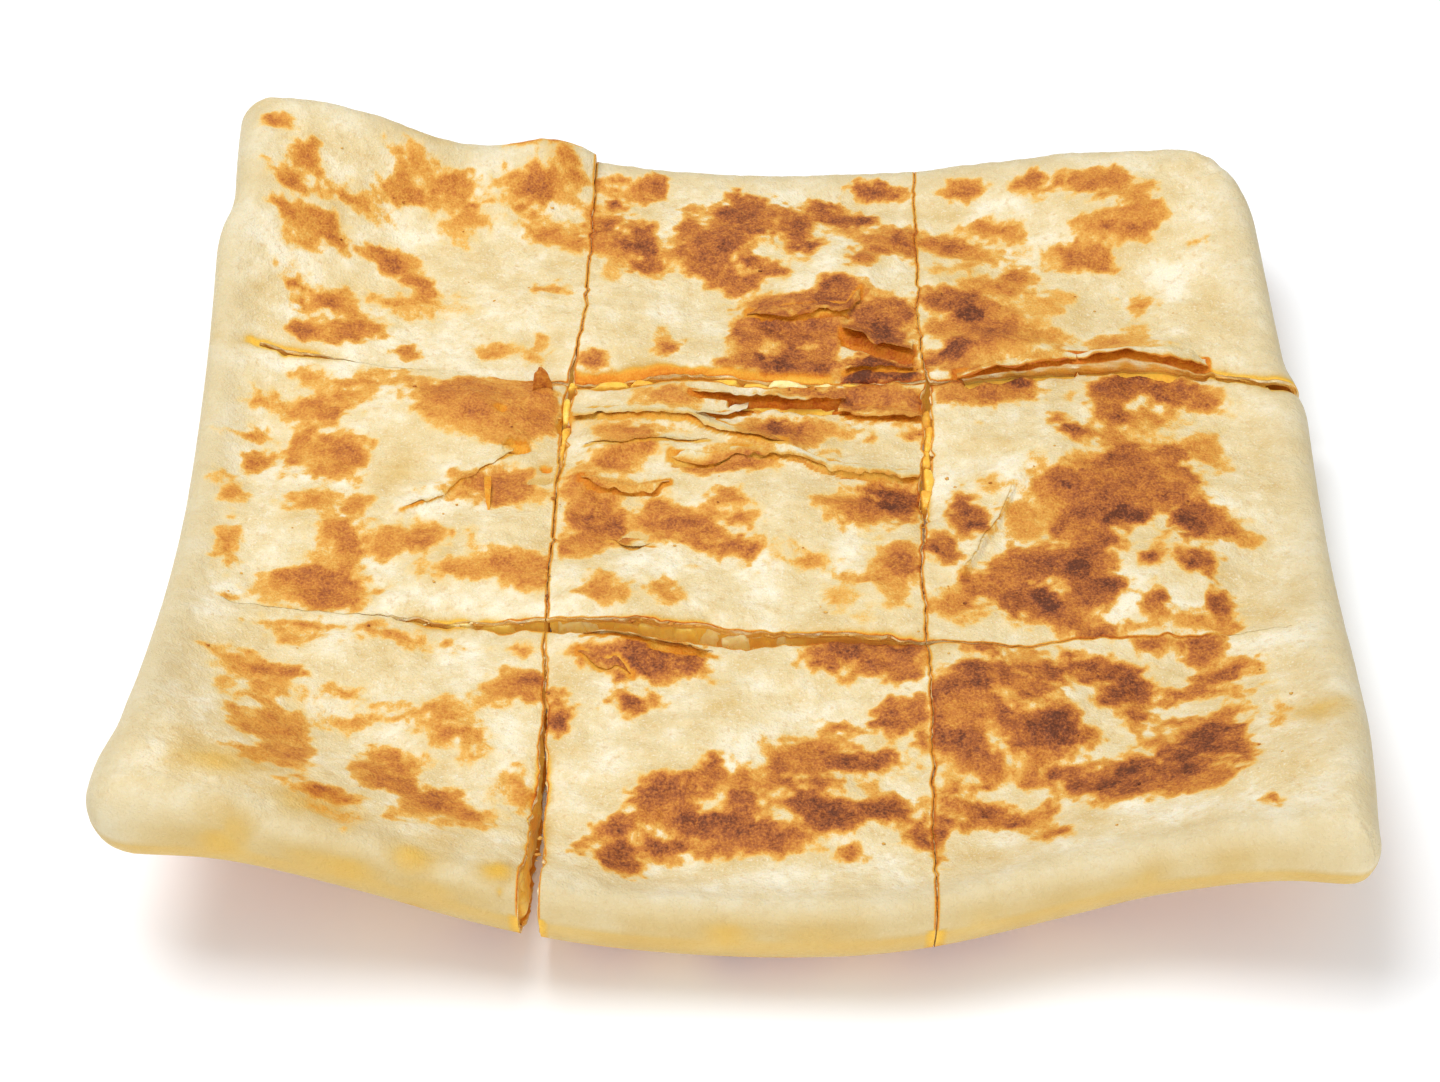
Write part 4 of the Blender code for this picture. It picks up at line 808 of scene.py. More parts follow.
def stack(x, y, z):
    return np.stack([x, y, z], -1).reshape(-1, 3)


wall_room = DOUGH * steepness(PLAN_X, PLAN_Y)
inset_x, inset_y = PLAN_X.copy(), PLAN_Y.copy()
inset_x += DOUGH * np.cos(LINE_TURN)[:, None] * np.where(LINE_PART == 0, 1.0, -1.0)[:, None]
inset_y += DOUGH * np.cos(LINE_TURN)[None, :] * np.where(LINE_PART == 0, 1.0, -1.0)[None, :]
TOP = stack(PLAN_X, PLAN_Y, middle + half * ROUND + surface * ROUND)
SKIN_LEVEL = middle + (half + RELIEF + FINE) * ROUND     # before hollows and drooping edges
UNDERSIDE = stack(PLAN_X, PLAN_Y, middle - half * ROUND)
INNER_TOP = stack(inset_x, inset_y, middle + (half - wall_room) * ROUND - (DROOP + DIP) * ROUND)
INNER_UNDER = stack(inset_x, inset_y, middle - (half - wall_room) * ROUND)


def cell_mask(columns, rows, joined):
    """Which grid cells belong to a piece.  joined lists the ends where a knife line stopped
    short: 'left' or 'right' of the knife lines between its rows."""
    mask = np.zeros((LINES - 1, LINES - 1), bool)
    for column in columns:
        for row in rows:
            mask[SLICE_START[column]:SLICE_END[column], SLICE_START[row]:SLICE_END[row]] = True
    for row in rows:
        if row + 1 in rows:
            knife = SLICE_END[row]
            if "left" in joined:
                mask[:UNCUT_CELLS, knife] = True
            if "right" in joined:
                mask[-UNCUT_CELLS:, knife] = True
    return mask


def block_lines(step):
    """Grid lines that bound blocks of cells: every few lines, and both sides of a knife line."""
    lines = []
    for part in range(3):
        lines += list(range(SLICE_START[part], SLICE_END[part] + 1, step))
    return lines


def block_faces(mask, step, rim_step, up):
    """Faces over blocks of cells.  A block at the piece's boundary takes every grid point on that
    side, so that it meets the finer faces there."""
    lines = block_lines(step)
    if rim_step < step:
        rim = [n for n in range(0, EDGE_CELLS, rim_step)]
        lines = sorted(set(lines) | set(rim) | {LINES - 1 - n for n in rim})
    full = np.zeros((LINES + 1, LINES + 1), bool)
    full[1:-1, 1:-1] = mask
    faces = []
    for i0, i1 in zip(lines[:-1], lines[1:]):
        for j0, j1 in zip(lines[:-1], lines[1:]):
            if not mask[i0, j0]:
                continue
            front = [(i, j0) for i in (range(i0, i1) if not full[i0 + 1, j0] else (i0,))]
            right = [(i1, j) for j in (range(j0, j1) if not full[i1 + 1, j0 + 1] else (j0,))]
            back = [(i, j1) for i in (range(i1, i0, -1) if not full[i0 + 1, j1 + 1] else (i1,))]
            left = [(i0, j) for j in (range(j1, j0, -1) if not full[i0, j0 + 1] else (j1,))]
            ring = [i * LINES + j for i, j in front + right + back + left]
            faces.append(ring if up else ring[::-1])
    return faces


def fine_faces(mask):
    """Four-sided faces over every cell."""
    i, j = np.nonzero(mask)
    a = i * LINES + j
    return np.stack([a, a + LINES, a + LINES + 1, a + 1], 1)


def cut_edges(mask):
    """Directed edges, counter-clockwise, where a piece ends at a knife line."""
    full = np.zeros((LINES + 1, LINES + 1), bool)
    full[1:-1, 1:-1] = mask
    i, j = np.nonzero(mask)
    sides = []
    for di, dj, start, end in ((0, -1, (0, 0), (1, 0)), (1, 0, (1, 0), (1, 1)),
                               (0, 1, (1, 1), (0, 1)), (-1, 0, (0, 1), (0, 0))):
        outside = (i + di < 0) | (i + di > LINES - 2) | (j + dj < 0) | (j + dj > LINES - 2)
        cut = ~full[i + 1 + di, j + 1 + dj] & ~outside
        a = (i[cut] + start[0]) * LINES + j[cut] + start[1]
        b = (i[cut] + end[0]) * LINES + j[cut] + end[1]
        sides.append(np.stack([a, b], 1))
    return np.concatenate(sides)


def wall(outer, inner, edges, up):
    """Cut face of the dough: rows of points from the skin to the inside, pushed in and out by
    noise in thin layers.  Returns points, faces numbered from 0, and how soaked with egg each
    point is, rising from the skin to the inside."""
    ring = np.unique(edges)
    number = {int(v): n for n, v in enumerate(ring)}
    a = np.array([number[int(v)] for v in edges[:, 0]])
    b = np.array([number[int(v)] for v in edges[:, 1]])
    out, inn = outer[ring], inner[ring]
    middle_points, soaked = [], []
    for k in range(WALL_LEVELS + 1):
        t = k / WALL_LEVELS
        p = out * (1 - t) + inn * t
        bulge = math.sin(math.pi * t)
        layer = 0.32 * bulge
        p[:, 0] += layer * mottle(p[:, 0] + 9 * k, p[:, 1], 1.1, 81)
        p[:, 1] += layer * mottle(p[:, 0] + 9 * k, p[:, 1], 1.1, 82)
        middle_points.append(p)
        soaked.append(ease((t - 0.2 + 0.3 * mottle(p[:, 0] + p[:, 1], p[:, 2], 2.2, 83)) / 0.4))
    count = len(ring)
    points = np.concatenate(middle_points)
    faces = []
    for k in range(WALL_LEVELS):
        quad = np.stack([a + k * count, a + (k + 1) * count, b + (k + 1) * count, b + k * count], 1)
        faces.append(quad if up else quad[:, ::-1])
    return points, np.concatenate(faces), np.concatenate(soaked)


def to_frame(points):
    """Millimetres in the bread's plan to metres in the frame."""
    return (points - PLAN_CENTRE) * MM


def closed_mesh(name, sets, faces, attributes, sharp=50.0):
    """A mesh from several point sets whose shared edges are joined: points closer than a
    thousandth of a millimetre become one.  sets and attributes are arrays in the same order."""
    points = np.concatenate(sets)
    used = np.unique(np.concatenate([np.ravel(f) if isinstance(f, np.ndarray) else np.concatenate(f)
                                     for f in faces]))
    key = np.round(points[used] * 1000.0).astype(np.int64)
    _, first, inverse = np.unique(key, axis=0, return_index=True, return_inverse=True)
    inverse = inverse.reshape(-1)
    renumber = np.zeros(len(points), np.int64)
    renumber[used] = inverse
    final = points[used][first]
    polygons = []
    for group in faces:
        if isinstance(group, np.ndarray):
            polygons += renumber[group].tolist()
        else:
            polygons += [renumber[np.array(ring)].tolist() for ring in group]
    mesh = bpy.data.meshes.new(name)
    mesh.from_pydata(to_frame(final), [], polygons)
    for label, values in attributes.items():
        layer = mesh.attributes.new(label, "FLOAT", "POINT")
        whole = np.concatenate(values)
        layer.data.foreach_set("value", whole[used][first].astype(np.float32))
    mesh.validate()
    mesh.shade_smooth()
    mesh.set_sharp_from_angle(angle=math.radians(sharp))
    obj = bpy.data.objects.new(name, mesh)
    bpy.context.scene.collection.objects.link(obj)
    return obj


def crust_piece(name, columns, rows, joined, sides):
    """One crust: skin on the top, under side and folded edge, the inside behind it, and the cut
    faces between them."""
    mask = cell_mask(columns, rows, joined)
    edges = cut_edges(mask)
    sets, faces = [], []
    attributes = {"scorch": [], "soak": [], "cut": [], "rim": []}

    def add(points, polygons, heat, soak, cut, rim):
        start = sum(len(s) for s in sets)
        sets.append(points)
        if isinstance(polygons, np.ndarray):
            faces.append(polygons + start)
        else:
            faces.append([np.array(ring) + start for ring in polygons])
        count = len(points)
        for label, value in zip(attributes, (heat, soak, cut, rim)):
            attributes[label].append(np.broadcast_to(np.asarray(value, float).reshape(-1), (count,)))

    rim = np.exp(-(TO_EDGE / 7.0) ** 2)
    if "top" in sides:
        add(TOP, fine_faces(mask), HEAT, SOAK, 0.0, rim)
        add(INNER_TOP, block_faces(mask, COARSE, COARSE, False), 0.2, 1.0, 1.0, 0.0)
        points, quads, soak = wall(TOP, INNER_TOP, edges, True)
        add(points, quads, 0.1 * soak, soak, 1.0, 0.0)
    if "under" in sides:
        fry = 0.45 + 0.25 * mottle(PLAN_X, PLAN_Y, 9.0, 91) + 0.2 * mottle(PLAN_X, PLAN_Y, 3.0, 92)
        heat = fry * ease((TO_EDGE - 0.8) / 5.0)
        soak = np.maximum(SOAK, 0.35 + 0.2 * ease(1.0 - front_in / 5.0)) * rim
        add(UNDERSIDE, block_faces(mask, UNDER, 2, False), heat, soak, 0.0, rim)
        add(INNER_UNDER, block_faces(mask, COARSE, COARSE, True), 0.2, 1.0, 1.0, 0.0)
        points, quads, soak = wall(UNDERSIDE, INNER_UNDER, edges, False)
        add(points, quads, 0.1 * soak, soak, 1.0, 0.0)
    return closed_mesh(name, sets, faces, attributes)


def linear(red, green, blue):
    """A colour given from 0 to 255 as seen, in the linear values that materials take."""
    values = np.array((red, green, blue)) / 255.0
    values = np.where(values <= 0.04045, values / 12.92, ((values + 0.055) / 1.055) ** 2.4)
    return (*values.tolist(), 1.0)


def new_group(name, inputs, outputs):
    """A shader node group with float inputs (name, default) and outputs (name, kind)."""
    group = bpy.data.node_groups.new(name, "ShaderNodeTree")
    for label, default in inputs:
        socket = group.interface.new_socket(label, in_out="INPUT", socket_type="NodeSocketFloat")
        socket.default_value = default
    for label, kind in outputs:
        group.interface.new_socket(label, in_out="OUTPUT", socket_type=kind)
    return group, group.nodes.new("NodeGroupInput"), group.nodes.new("NodeGroupOutput")


def noise(tree, scale, detail=3.0, roughness=0.55, stretch=None):
    """Noise on Object coordinates; scale is in features per metre, stretch per axis."""
    coords = tree.nodes.new("ShaderNodeTexCoord")
    node = tree.nodes.new("ShaderNodeTexNoise")
    node.inputs["Scale"].default_value = scale
    node.inputs["Detail"].default_value = detail
    node.inputs["Roughness"].default_value = roughness
    source = coords.outputs["Object"]
    if stretch:
        mapping = tree.nodes.new("ShaderNodeMapping")
        mapping.inputs["Scale"].default_value = stretch
        tree.links.new(source, mapping.inputs["Vector"])
        source = mapping.outputs["Vector"]
    tree.links.new(source, node.inputs["Vector"])
    return node.outputs["Fac"]


def maths(tree, operation, *values, clamp=False):
    """A Math node; each value is a socket or a number."""
    node = tree.nodes.new("ShaderNodeMath")
    node.operation = operation
    node.use_clamp = clamp
    for socket, value in zip(node.inputs, values):
        if isinstance(value, (int, float)):
            socket.default_value = value
        else:
            tree.links.new(value, socket)
    return node.outputs[0]


def ramp(tree, value, stops):
    """A colour ramp from (place, colour) stops."""
    node = tree.nodes.new("ShaderNodeValToRGB")
    elements = node.color_ramp.elements
    elements.remove(elements[1])
    elements[0].position, elements[0].color = stops[0]
    for place, colour in stops[1:]:
        elements.new(place).color = colour
    tree.links.new(value, node.inputs["Fac"])
    return node.outputs["Color"]


def blend(tree, factor, first, second, kind="MIX"):
    """Mix two colours; each is a socket or a colour."""
    node = tree.nodes.new("ShaderNodeMix")
    node.data_type = "RGBA"
    node.blend_type = kind
    for socket, value in ((node.inputs[0], factor), (node.inputs[6], first), (node.inputs[7], second)):
        if isinstance(value, (int, float, tuple)):
            socket.default_value = value
        else:
            tree.links.new(value, socket)
    return node.outputs[2]


def fried_dough_group():
    """Colour, roughness and height of fried dough from how hot, soaked and translucent it is."""
    group, inside, out = new_group(
        "fried dough", [("Heat", 0.0), ("Soak", 0.0), ("Rim", 0.0), ("Cut", 0.0)],
        [("Color", "NodeSocketColor"), ("Roughness", "NodeSocketFloat"), ("Height", "NodeSocketFloat")])
    heat, soak = inside.outputs["Heat"], inside.outputs["Soak"]
    grain = noise(group, 2400.0, 2.0, 0.6)
    speck = noise(group, 900.0, 3.0, 0.6)
    cloud = noise(group, 110.0, 5.0, 0.62)
    # Scorching is granular: the grain shifts the heat most where there is some.
    blotch = noise(group, 420.0, 3.0, 0.6)
    shift = maths(group, "MULTIPLY_ADD", speck, 0.6, -0.3)
    shift = maths(group, "ADD", shift, maths(group, "MULTIPLY_ADD", grain, 1.05, -0.52))
    shift = maths(group, "ADD", shift, maths(group, "MULTIPLY_ADD", blotch, 0.55, -0.27))
    amount = maths(group, "MULTIPLY_ADD", heat, 0.8, 0.09)
    warm = maths(group, "ADD", heat, maths(group, "MULTIPLY", shift, amount))
    base = ramp(group, cloud, [(0.30, linear(212, 184, 124)), (0.5, linear(225, 206, 160)),
                               (0.66, linear(238, 229, 202))])
    fleck = maths(group, "MULTIPLY_ADD", grain, 5.0, -2.8, clamp=True)
    base = blend(group, maths(group, "MULTIPLY", fleck, 0.6), base, linear(248, 241, 222))
    pit = maths(group, "MULTIPLY_ADD", speck, -6.0, 2.7, clamp=True)
    base = blend(group, maths(group, "MULTIPLY", pit, 0.5), base, linear(208, 170, 110))
    rim = blend(group, maths(group, "MULTIPLY", inside.outputs["Rim"], 0.75), base, linear(205, 190, 152))
    yolky = ramp(group, warm, [(0.0, linear(238, 186, 66)), (0.3, linear(222, 136, 28)),
                               (0.55, linear(192, 92, 14)), (0.85, linear(112, 44, 10))])
    soaked = maths(group, "MULTIPLY", soak, 0.9, clamp=True)
    fried = ramp(group, warm, [(0.0, linear(226, 206, 156)), (0.14, linear(230, 200, 128)),
                               (0.28, linear(226, 176, 88)), (0.42, linear(214, 150, 62)),
                               (0.58, linear(194, 120, 47)), (0.74, linear(162, 90, 41)),
                               (0.88, linear(126, 66, 33)), (1.0, linear(98, 50, 27))])
    shown = maths(group, "MULTIPLY_ADD", warm, 5.0, -0.4, clamp=True)
    # A little egg only tints the skin lemon yellow; where it is soaked through it is deep yellow.
    tinted = blend(group, maths(group, "MULTIPLY", soak, 1.3, clamp=True), blend(group, shown, rim, fried),
                   linear(236, 208, 122), "MULTIPLY")
    deep = maths(group, "MULTIPLY_ADD", soak, 1.5, -0.7, clamp=True)
    skin = blend(group, deep, tinted, yolky)
    strata = noise(group, 1.0, 3.0, 0.6, stretch=(260.0, 260.0, 2600.0))
    raw = ramp(group, strata, [(0.3, linear(226, 190, 112)), (0.5, linear(243, 222, 168)),
                               (0.7, linear(250, 238, 205))])
    raw = blend(group, soaked, raw, yolky)
    colour = blend(group, inside.outputs["Cut"], skin, raw)
    rough = maths(group, "MULTIPLY_ADD", grain, 0.25, 0.42)
    group.links.new(colour, out.inputs["Color"])
    group.links.new(rough, out.inputs["Roughness"])
    height = maths(group, "ADD", maths(group, "MULTIPLY", grain, 0.55), maths(group, "MULTIPLY", speck, 0.6))
    group.links.new(height, out.inputs["Height"])
    return group


FRIED_DOUGH = fried_dough_group()


def surface_material(name):
    """An empty node material with its Principled shader."""
    material = bpy.data.materials.new(name)
    material.use_nodes = True
    tree = material.node_tree
    return material, tree, tree.nodes["Principled BSDF"]


def attribute(tree, label):
    node = tree.nodes.new("ShaderNodeAttribute")
    node.attribute_name = label
    return node.outputs["Fac"]


def bump(tree, shader, height, distance, strength=1.0):
    node = tree.nodes.new("ShaderNodeBump")
    node.inputs["Distance"].default_value = distance
    node.inputs["Strength"].default_value = strength
    tree.links.new(height, node.inputs["Height"])
    tree.links.new(node.outputs["Normal"], shader.inputs["Normal"])


def crust_material():
    material, tree, shader = surface_material("fried crust")
    node = tree.nodes.new("ShaderNodeGroup")
    node.node_tree = FRIED_DOUGH
    for label, source in (("Heat", "scorch"), ("Soak", "soak"), ("Rim", "rim"), ("Cut", "cut")):
        tree.links.new(attribute(tree, source), node.inputs[label])
    tree.links.new(node.outputs["Color"], shader.inputs["Base Color"])
    tree.links.new(node.outputs["Roughness"], shader.inputs["Roughness"])
    shader.inputs["Subsurface Weight"].default_value = 0.12
    shader.inputs["Subsurface Radius"].default_value = (0.0016, 0.0009, 0.0004)
    shader.inputs["Subsurface Scale"].default_value = 1.0
    shader.inputs["Specular IOR Level"].default_value = 0.2
    bump(tree, shader, node.outputs["Height"], 0.0004)
    return material


CRUST_MATERIAL = crust_material()
CRUSTS = {
    "crust_left": ((0,), (0, 1, 2), ("left",), ("top", "under")),
    "crust_back_middle": ((1,), (2,), (), ("top", "under")),
    "crust_front_middle": ((1,), (0,), (), ("top", "under")),
    "crust_centre_top": ((1,), (1,), (), ("top",)),
    "crust_centre_bottom": ((1,), (1,), (), ("under",)),
    "crust_right_back": ((2,), (2,), (), ("top", "under")),
    "crust_right_front": ((2,), (0, 1), ("right",), ("top", "under")),
}
for node, (columns, rows, joined, sides) in CRUSTS.items():
    piece = crust_piece("fried_" + node, columns, rows, joined, sides)
    piece.data.materials.append(CRUST_MATERIAL)
    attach(piece, "root")
    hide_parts(node)

# ---------------------------------------------------------------------------------------------
# Flaky layers: thin leaves of the folded dough that came loose when it was fried and cut.
# Each is joined to the skin along its back and stands free along its front edge.

LEAF = 0.3               # thickness of one leaf, in mm
LEAF_STEP = 0.3          # grid along a leaf
LEAF_ROOT = 0.3          # how deep its back edge lies in the skin
LEAF_CLEAR = 0.05        # least rise of its free edge


def sample(column, row, x, y, fields):
    """Values of grid fields at plan points of one slice.  A point's share of the way between
    the slice's two faces gives its grid line, each way in turn, three times over."""
    i0, i1 = SLICE_START[column], SLICE_END[column]
    j0, j1 = SLICE_START[row], SLICE_END[row]
    a0, a1 = i0 + (EDGE_CELLS if column == 0 else 0), i1 - (EDGE_CELLS if column == 2 else 0)
    b0, b1 = j0 + (EDGE_CELLS if row == 0 else 0), j1 - (EDGE_CELLS if row == 2 else 0)
    i = np.full(x.shape, (a0 + a1) / 2.0)
    j = np.full(x.shape, (b0 + b1) / 2.0)
    for _ in range(3):
        n = np.clip(np.round(j).astype(int), j0, j1)
        i = a0 + (x - PLAN_X[a0, n]) / (PLAN_X[a1, n] - PLAN_X[a0, n]) * (a1 - a0)
        m = np.clip(np.round(i).astype(int), i0, i1)
        j = b0 + (y - PLAN_Y[m, b0]) / (PLAN_Y[m, b1] - PLAN_Y[m, b0]) * (b1 - b0)
    i = np.clip(i, i0, i1 - 0.001)
    j = np.clip(j, j0, j1 - 0.001)
    i0, j0 = i.astype(int), j.astype(int)
    s, t = i - i0, j - j0
    return [(f[i0, j0] * (1 - s) + f[i0 + 1, j0] * s) * (1 - t)
            + (f[i0, j0 + 1] * (1 - s) + f[i0 + 1, j0 + 1] * s) * t for f in fields]


def sheet_faces(rows, columns):
    """Faces of a closed thin sheet: the top's grid, the under side's grid after it, and the rim
    that joins them."""
    n = np.arange(rows * columns).reshape(rows, columns)
    top = np.stack([n[:-1, :-1], n[1:, :-1], n[1:, 1:], n[:-1, 1:]], -1).reshape(-1, 4)
    ring = np.concatenate([n[:, 0], n[-1, 1:], n[-2::-1, -1], n[0, -2:0:-1]])
    after = np.roll(ring, -1)
    low = rows * columns
    rim = np.stack([ring, ring + low, after + low, after], -1)
    return np.concatenate([top, top[:, ::-1] + low, rim])


def leaf(slice_at, depth, lift, curl, ends, edge_heat, edge_soak, points, seed):
    """One loose leaf.  Along it u runs from left to right, and across it v runs from the back
    (0), under the skin, to the free edge (1).  It rises as v to the power 1.6 and its last
    quarter curls down; a closed end sinks into the skin."""
    line = np.array(points, float)
    length = np.hypot(*np.diff(line, axis=0).T).sum()
    u = np.linspace(0.0, 1.0, int(length / LEAF_STEP) + 2)[:, None]
    v = np.linspace(0.0, 1.0, 12)[None, :]
    x = line[0, 0] + (line[-1, 0] - line[0, 0]) * u
    along = u * length
    rag = 0.45 * mottle(along, seed + 0 * u, 3.1, 501) + 0.3 * mottle(along, seed + 0 * u, 1.2, 502)
    nick = np.maximum(mottle(along, seed + 0 * u, 0.9, 503) - 0.3, 0.0)
    front = np.mean([np.interp(x + k, line[:, 0], line[:, 1]) for k in (-0.8, -0.4, 0.0, 0.4, 0.8)], axis=0)
    left = ease(along / 3.0) if ends[0] else np.ones_like(u)
    right = ease((length - along) / 3.0) if ends[1] else np.ones_like(u)
    closing = left * right
    front = front + (rag + 0.5 * nick) * (0.4 + 0.6 * closing) + (1.0 - closing) * 0.8
    back = depth * (0.35 + 0.65 * closing) * (1.0 + 0.25 * mottle(along, seed + 0 * u, 5.0, 504))
    px = x + 0.25 * mottle(along, seed + 3 * v, 2.0, 505)
    py = front + back * (1.0 - v)
    fields = (SKIN_LEVEL, SKIN_HEAT, SKIN_SOAK, PLAN_X, PLAN_Y)
    level, heat, soak, on_x, on_y = sample(*slice_at, px, py, fields)
    px, py = on_x, np.minimum(py, on_y)
    wave = 1.0 + 0.35 * mottle(along, seed + 0 * u, 3.5, 506)
    curling = curl * ease((v - 0.7) / 0.3) * closing
    rise = (lift * closing * wave + LEAF_ROOT + LEAF_CLEAR) * v ** 1.6
    high = level - LEAF_ROOT + rise - curling
    low = high - LEAF * (1.0 - 0.6 * ease((v - 0.5) / 0.5))
    tint = ease((v - 0.55) / 0.45) * (0.75 + 0.5 * mottle(px, py, 1.6, 507))
    heat = np.maximum(heat, edge_heat * tint)
    patchy = 0.7 + 0.6 * mottle(px, py, 2.0, 511)
    soak_top = np.maximum(soak, (0.25 + edge_soak) * ease((v - 0.7) / 0.3) * patchy)
    points = np.concatenate([stack(px, py, high), stack(px, py + 0.12 * v, low)])
    values = {"scorch": np.concatenate([heat.ravel(), 0.15 + 0 * heat.ravel()]),
              "soak": np.concatenate([soak_top.ravel(), 0.5 + 0 * heat.ravel()])}
    return points, sheet_faces(*px.shape), values


def tongue(points_up, widths, thick, heat, soak, bow):
    """A tapering strip along a path of points: half widths across it at each point, bowed by a
    share of its width, and as thick as given."""
    path = np.array(points_up, float)
    v = np.linspace(0.0, 1.0, 15)[None, :]
    u = np.linspace(-1.0, 1.0, 11)[:, None]
    steps = np.linspace(0.0, 1.0, len(path))
    x, y, z = (np.interp(v, steps, path[:, k]) for k in range(3))
    half = np.interp(v, steps, widths)
    px = x + half * u + 0.12 * mottle(u * 3, v * 6, 1.0, 508)
    py = y + bow * half * u * u + 0.12 * mottle(u * 3, v * 6, 1.0, 509)
    pz = z + 0 * u
    front = np.stack([px, py - thick / 2, pz + 0.3 * thick], -1).reshape(-1, 3)
    rear = np.stack([px, py + thick / 2, pz - 0.3 * thick], -1).reshape(-1, 3)
    count = px.size
    heat = heat + 0.12 * mottle(px, pz + py, 1.0, 510).ravel()
    values = {"scorch": np.concatenate([heat, heat]), "soak": np.full(2 * count, soak)}
    return np.concatenate([front, rear]), sheet_faces(*px.shape), values


def joined(name, parts, labels, sharp=50.0):
    """One mesh from several (points, faces, values) parts."""
    sets, faces, values, start = [], [], {label: [] for label in labels}, 0
    for points, polygons, given in parts:
        sets.append(points)
        faces.append(polygons + start)
        for label in labels:
            values[label].append(given[label])
        start += len(points)
    return closed_mesh(name, sets, faces, values, sharp)


parts = [leaf(*entry, seed=17 * n) for n, entry in enumerate(LEAVES)]
level = float(sample(0, 1, np.array([-34.3]), np.array([27.5]), (SKIN_LEVEL,))[0][0])
parts.append(tongue([(-34.3, 28.2, level - 0.8), (-34.3, 28.4, level + 1.2), (-34.5, 28.9, level + 2.6),
                     (-34.6, 29.3, level + 3.3)], [1.8, 1.6, 1.2, 0.25], 0.6, 0.55, 0.25, -0.35))
level = float(sample(0, 1, np.array([-41.5]), np.array([0.0]), (SKIN_LEVEL,))[0][0])
parts.append(tongue([(-42.0, 5.6, level + 0.1), (-41.7, 3.0, level + 0.75), (-41.3, -1.0, level + 0.8),
                     (-40.8, -4.8, level + 0.35)], [0.65, 0.6, 0.45, 0.08], 0.45, 0.22, 1.1, 0.2))
leaves = joined("flaky_layers", parts, ("scorch", "soak"))
leaves.data.materials.append(CRUST_MATERIAL)
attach(leaves, "root")

# ---------------------------------------------------------------------------------------------
# The filling: beaten egg set round chopped banana, one soft layer for each slice.
# It shows at the knife lines, a little behind the dough, moist and lumpy.

FILL_RECESS = 0.35
FILL_CLEAR = 0.06        # from the dough above and below it
FILL_LEVELS = 12
FILL_EDGE = EDGE_CELLS   # the filling stops this many grid lines in from the folded edge
COLUMN_NAMES = ("left", "middle", "right")
ROW_NAMES = ("front", "middle", "back")


def filling_piece(column, row):
    """One slice's filling: top and under side just inside the dough, joined all round by a lumpy
    wall whose points are pushed in and out by noise, most halfway up."""
    i0, i1 = SLICE_START[column], SLICE_END[column]
    j0, j1 = SLICE_START[row], SLICE_END[row]
    i0, i1 = i0 + (FILL_EDGE if column == 0 else 0), i1 - (FILL_EDGE if column == 2 else 0)
    j0, j1 = j0 + (FILL_EDGE if row == 0 else 0), j1 - (FILL_EDGE if row == 2 else 0)
    mask = np.zeros((LINES - 1, LINES - 1), bool)
    mask[i0:i1, j0:j1] = True
    x, y = PLAN_X.copy(), PLAN_Y.copy()
    across = np.clip((np.arange(LINES) - i0) / (i1 - i0), 0, 1)[:, None]
    deep = np.clip((np.arange(LINES) - j0) / (j1 - j0), 0, 1)[None, :]
    x += FILL_RECESS * (1.0 - 2.0 * across)
    y += FILL_RECESS * (1.0 - 2.0 * deep)
    low, high = levels(x, y)
    room = (DOUGH + FILL_CLEAR) * steepness(x, y)
    droop_room = DROOP * 1.0
    top = stack(x, y, high - room - droop_room)
    under = stack(x, y, low + room)
    edges = np.concatenate([cut_edges(mask)])
    ring = np.unique(edges)
    number = {int(v): n for n, v in enumerate(ring)}
    a = np.array([number[int(v)] for v in edges[:, 0]])
    b = np.array([number[int(v)] for v in edges[:, 1]])
    centre = np.array([x[i0:i1, j0:j1].mean(), y[i0:i1, j0:j1].mean()])
    points = []
    seed = 400 + column * 3 + row
    for k in range(FILL_LEVELS + 1):
        t = k / FILL_LEVELS
        p = top[ring] * (1 - t) + under[ring] * t
        away = p[:, :2] - centre
        size = np.abs(away).max(1)
        face_x = (np.abs(away[:, 0]) >= size - 1.5) * np.sign(away[:, 0])
        face_y = (np.abs(away[:, 1]) >= size - 1.5) * np.sign(away[:, 1])
        along = p[:, 0] + p[:, 1]
        lump = 0.55 * mottle(along, p[:, 2], 3.2, seed) + 0.35 * mottle(along, p[:, 2], 1.3, seed + 50)
        push = (lump + 0.1) * math.sin(math.pi * t) ** 0.5
        p[:, 0] += push * face_x
        p[:, 1] += push * face_y
        points.append(p)
    count = len(ring)
    quads = [np.stack([a + k * count, a + (k + 1) * count, b + (k + 1) * count, b + k * count], 1)
             for k in range(FILL_LEVELS)]
    size = LINES * LINES
    faces = [[np.array(f) for f in block_faces(mask, COARSE, COARSE, True)],
             [np.array(f) + size for f in block_faces(mask, COARSE, COARSE, False)],
             np.concatenate(quads) + 2 * size]
    name = f"filling_{ROW_NAMES[row]}_{COLUMN_NAMES[column]}"
    side = np.concatenate(points)
    pale = 0.60 + 0.38 * mottle(side[:, 0] + side[:, 1], side[:, 2], 4.0, seed + 70)
    # Painted shade: the filling is darker towards the right end of the front cut, in the hollow under the centre
    # slice's edge.
    pale -= 0.6 * ease((side[:, 0] - 6.0) / 8.0) * ease((-26.0 - side[:, 1]) / 2.0) * ease((side[:, 1] + 34.0) / 2.0)
    values = {"pale": [np.full(len(top), 0.5), np.full(len(under), 0.5), pale]}
    return closed_mesh("egg_" + name, [top, under, side], faces, values), name


FILLING_PAINTED_GLOW = 0.10         # painted glow of the filling, standing in for light through the thin, moist bread
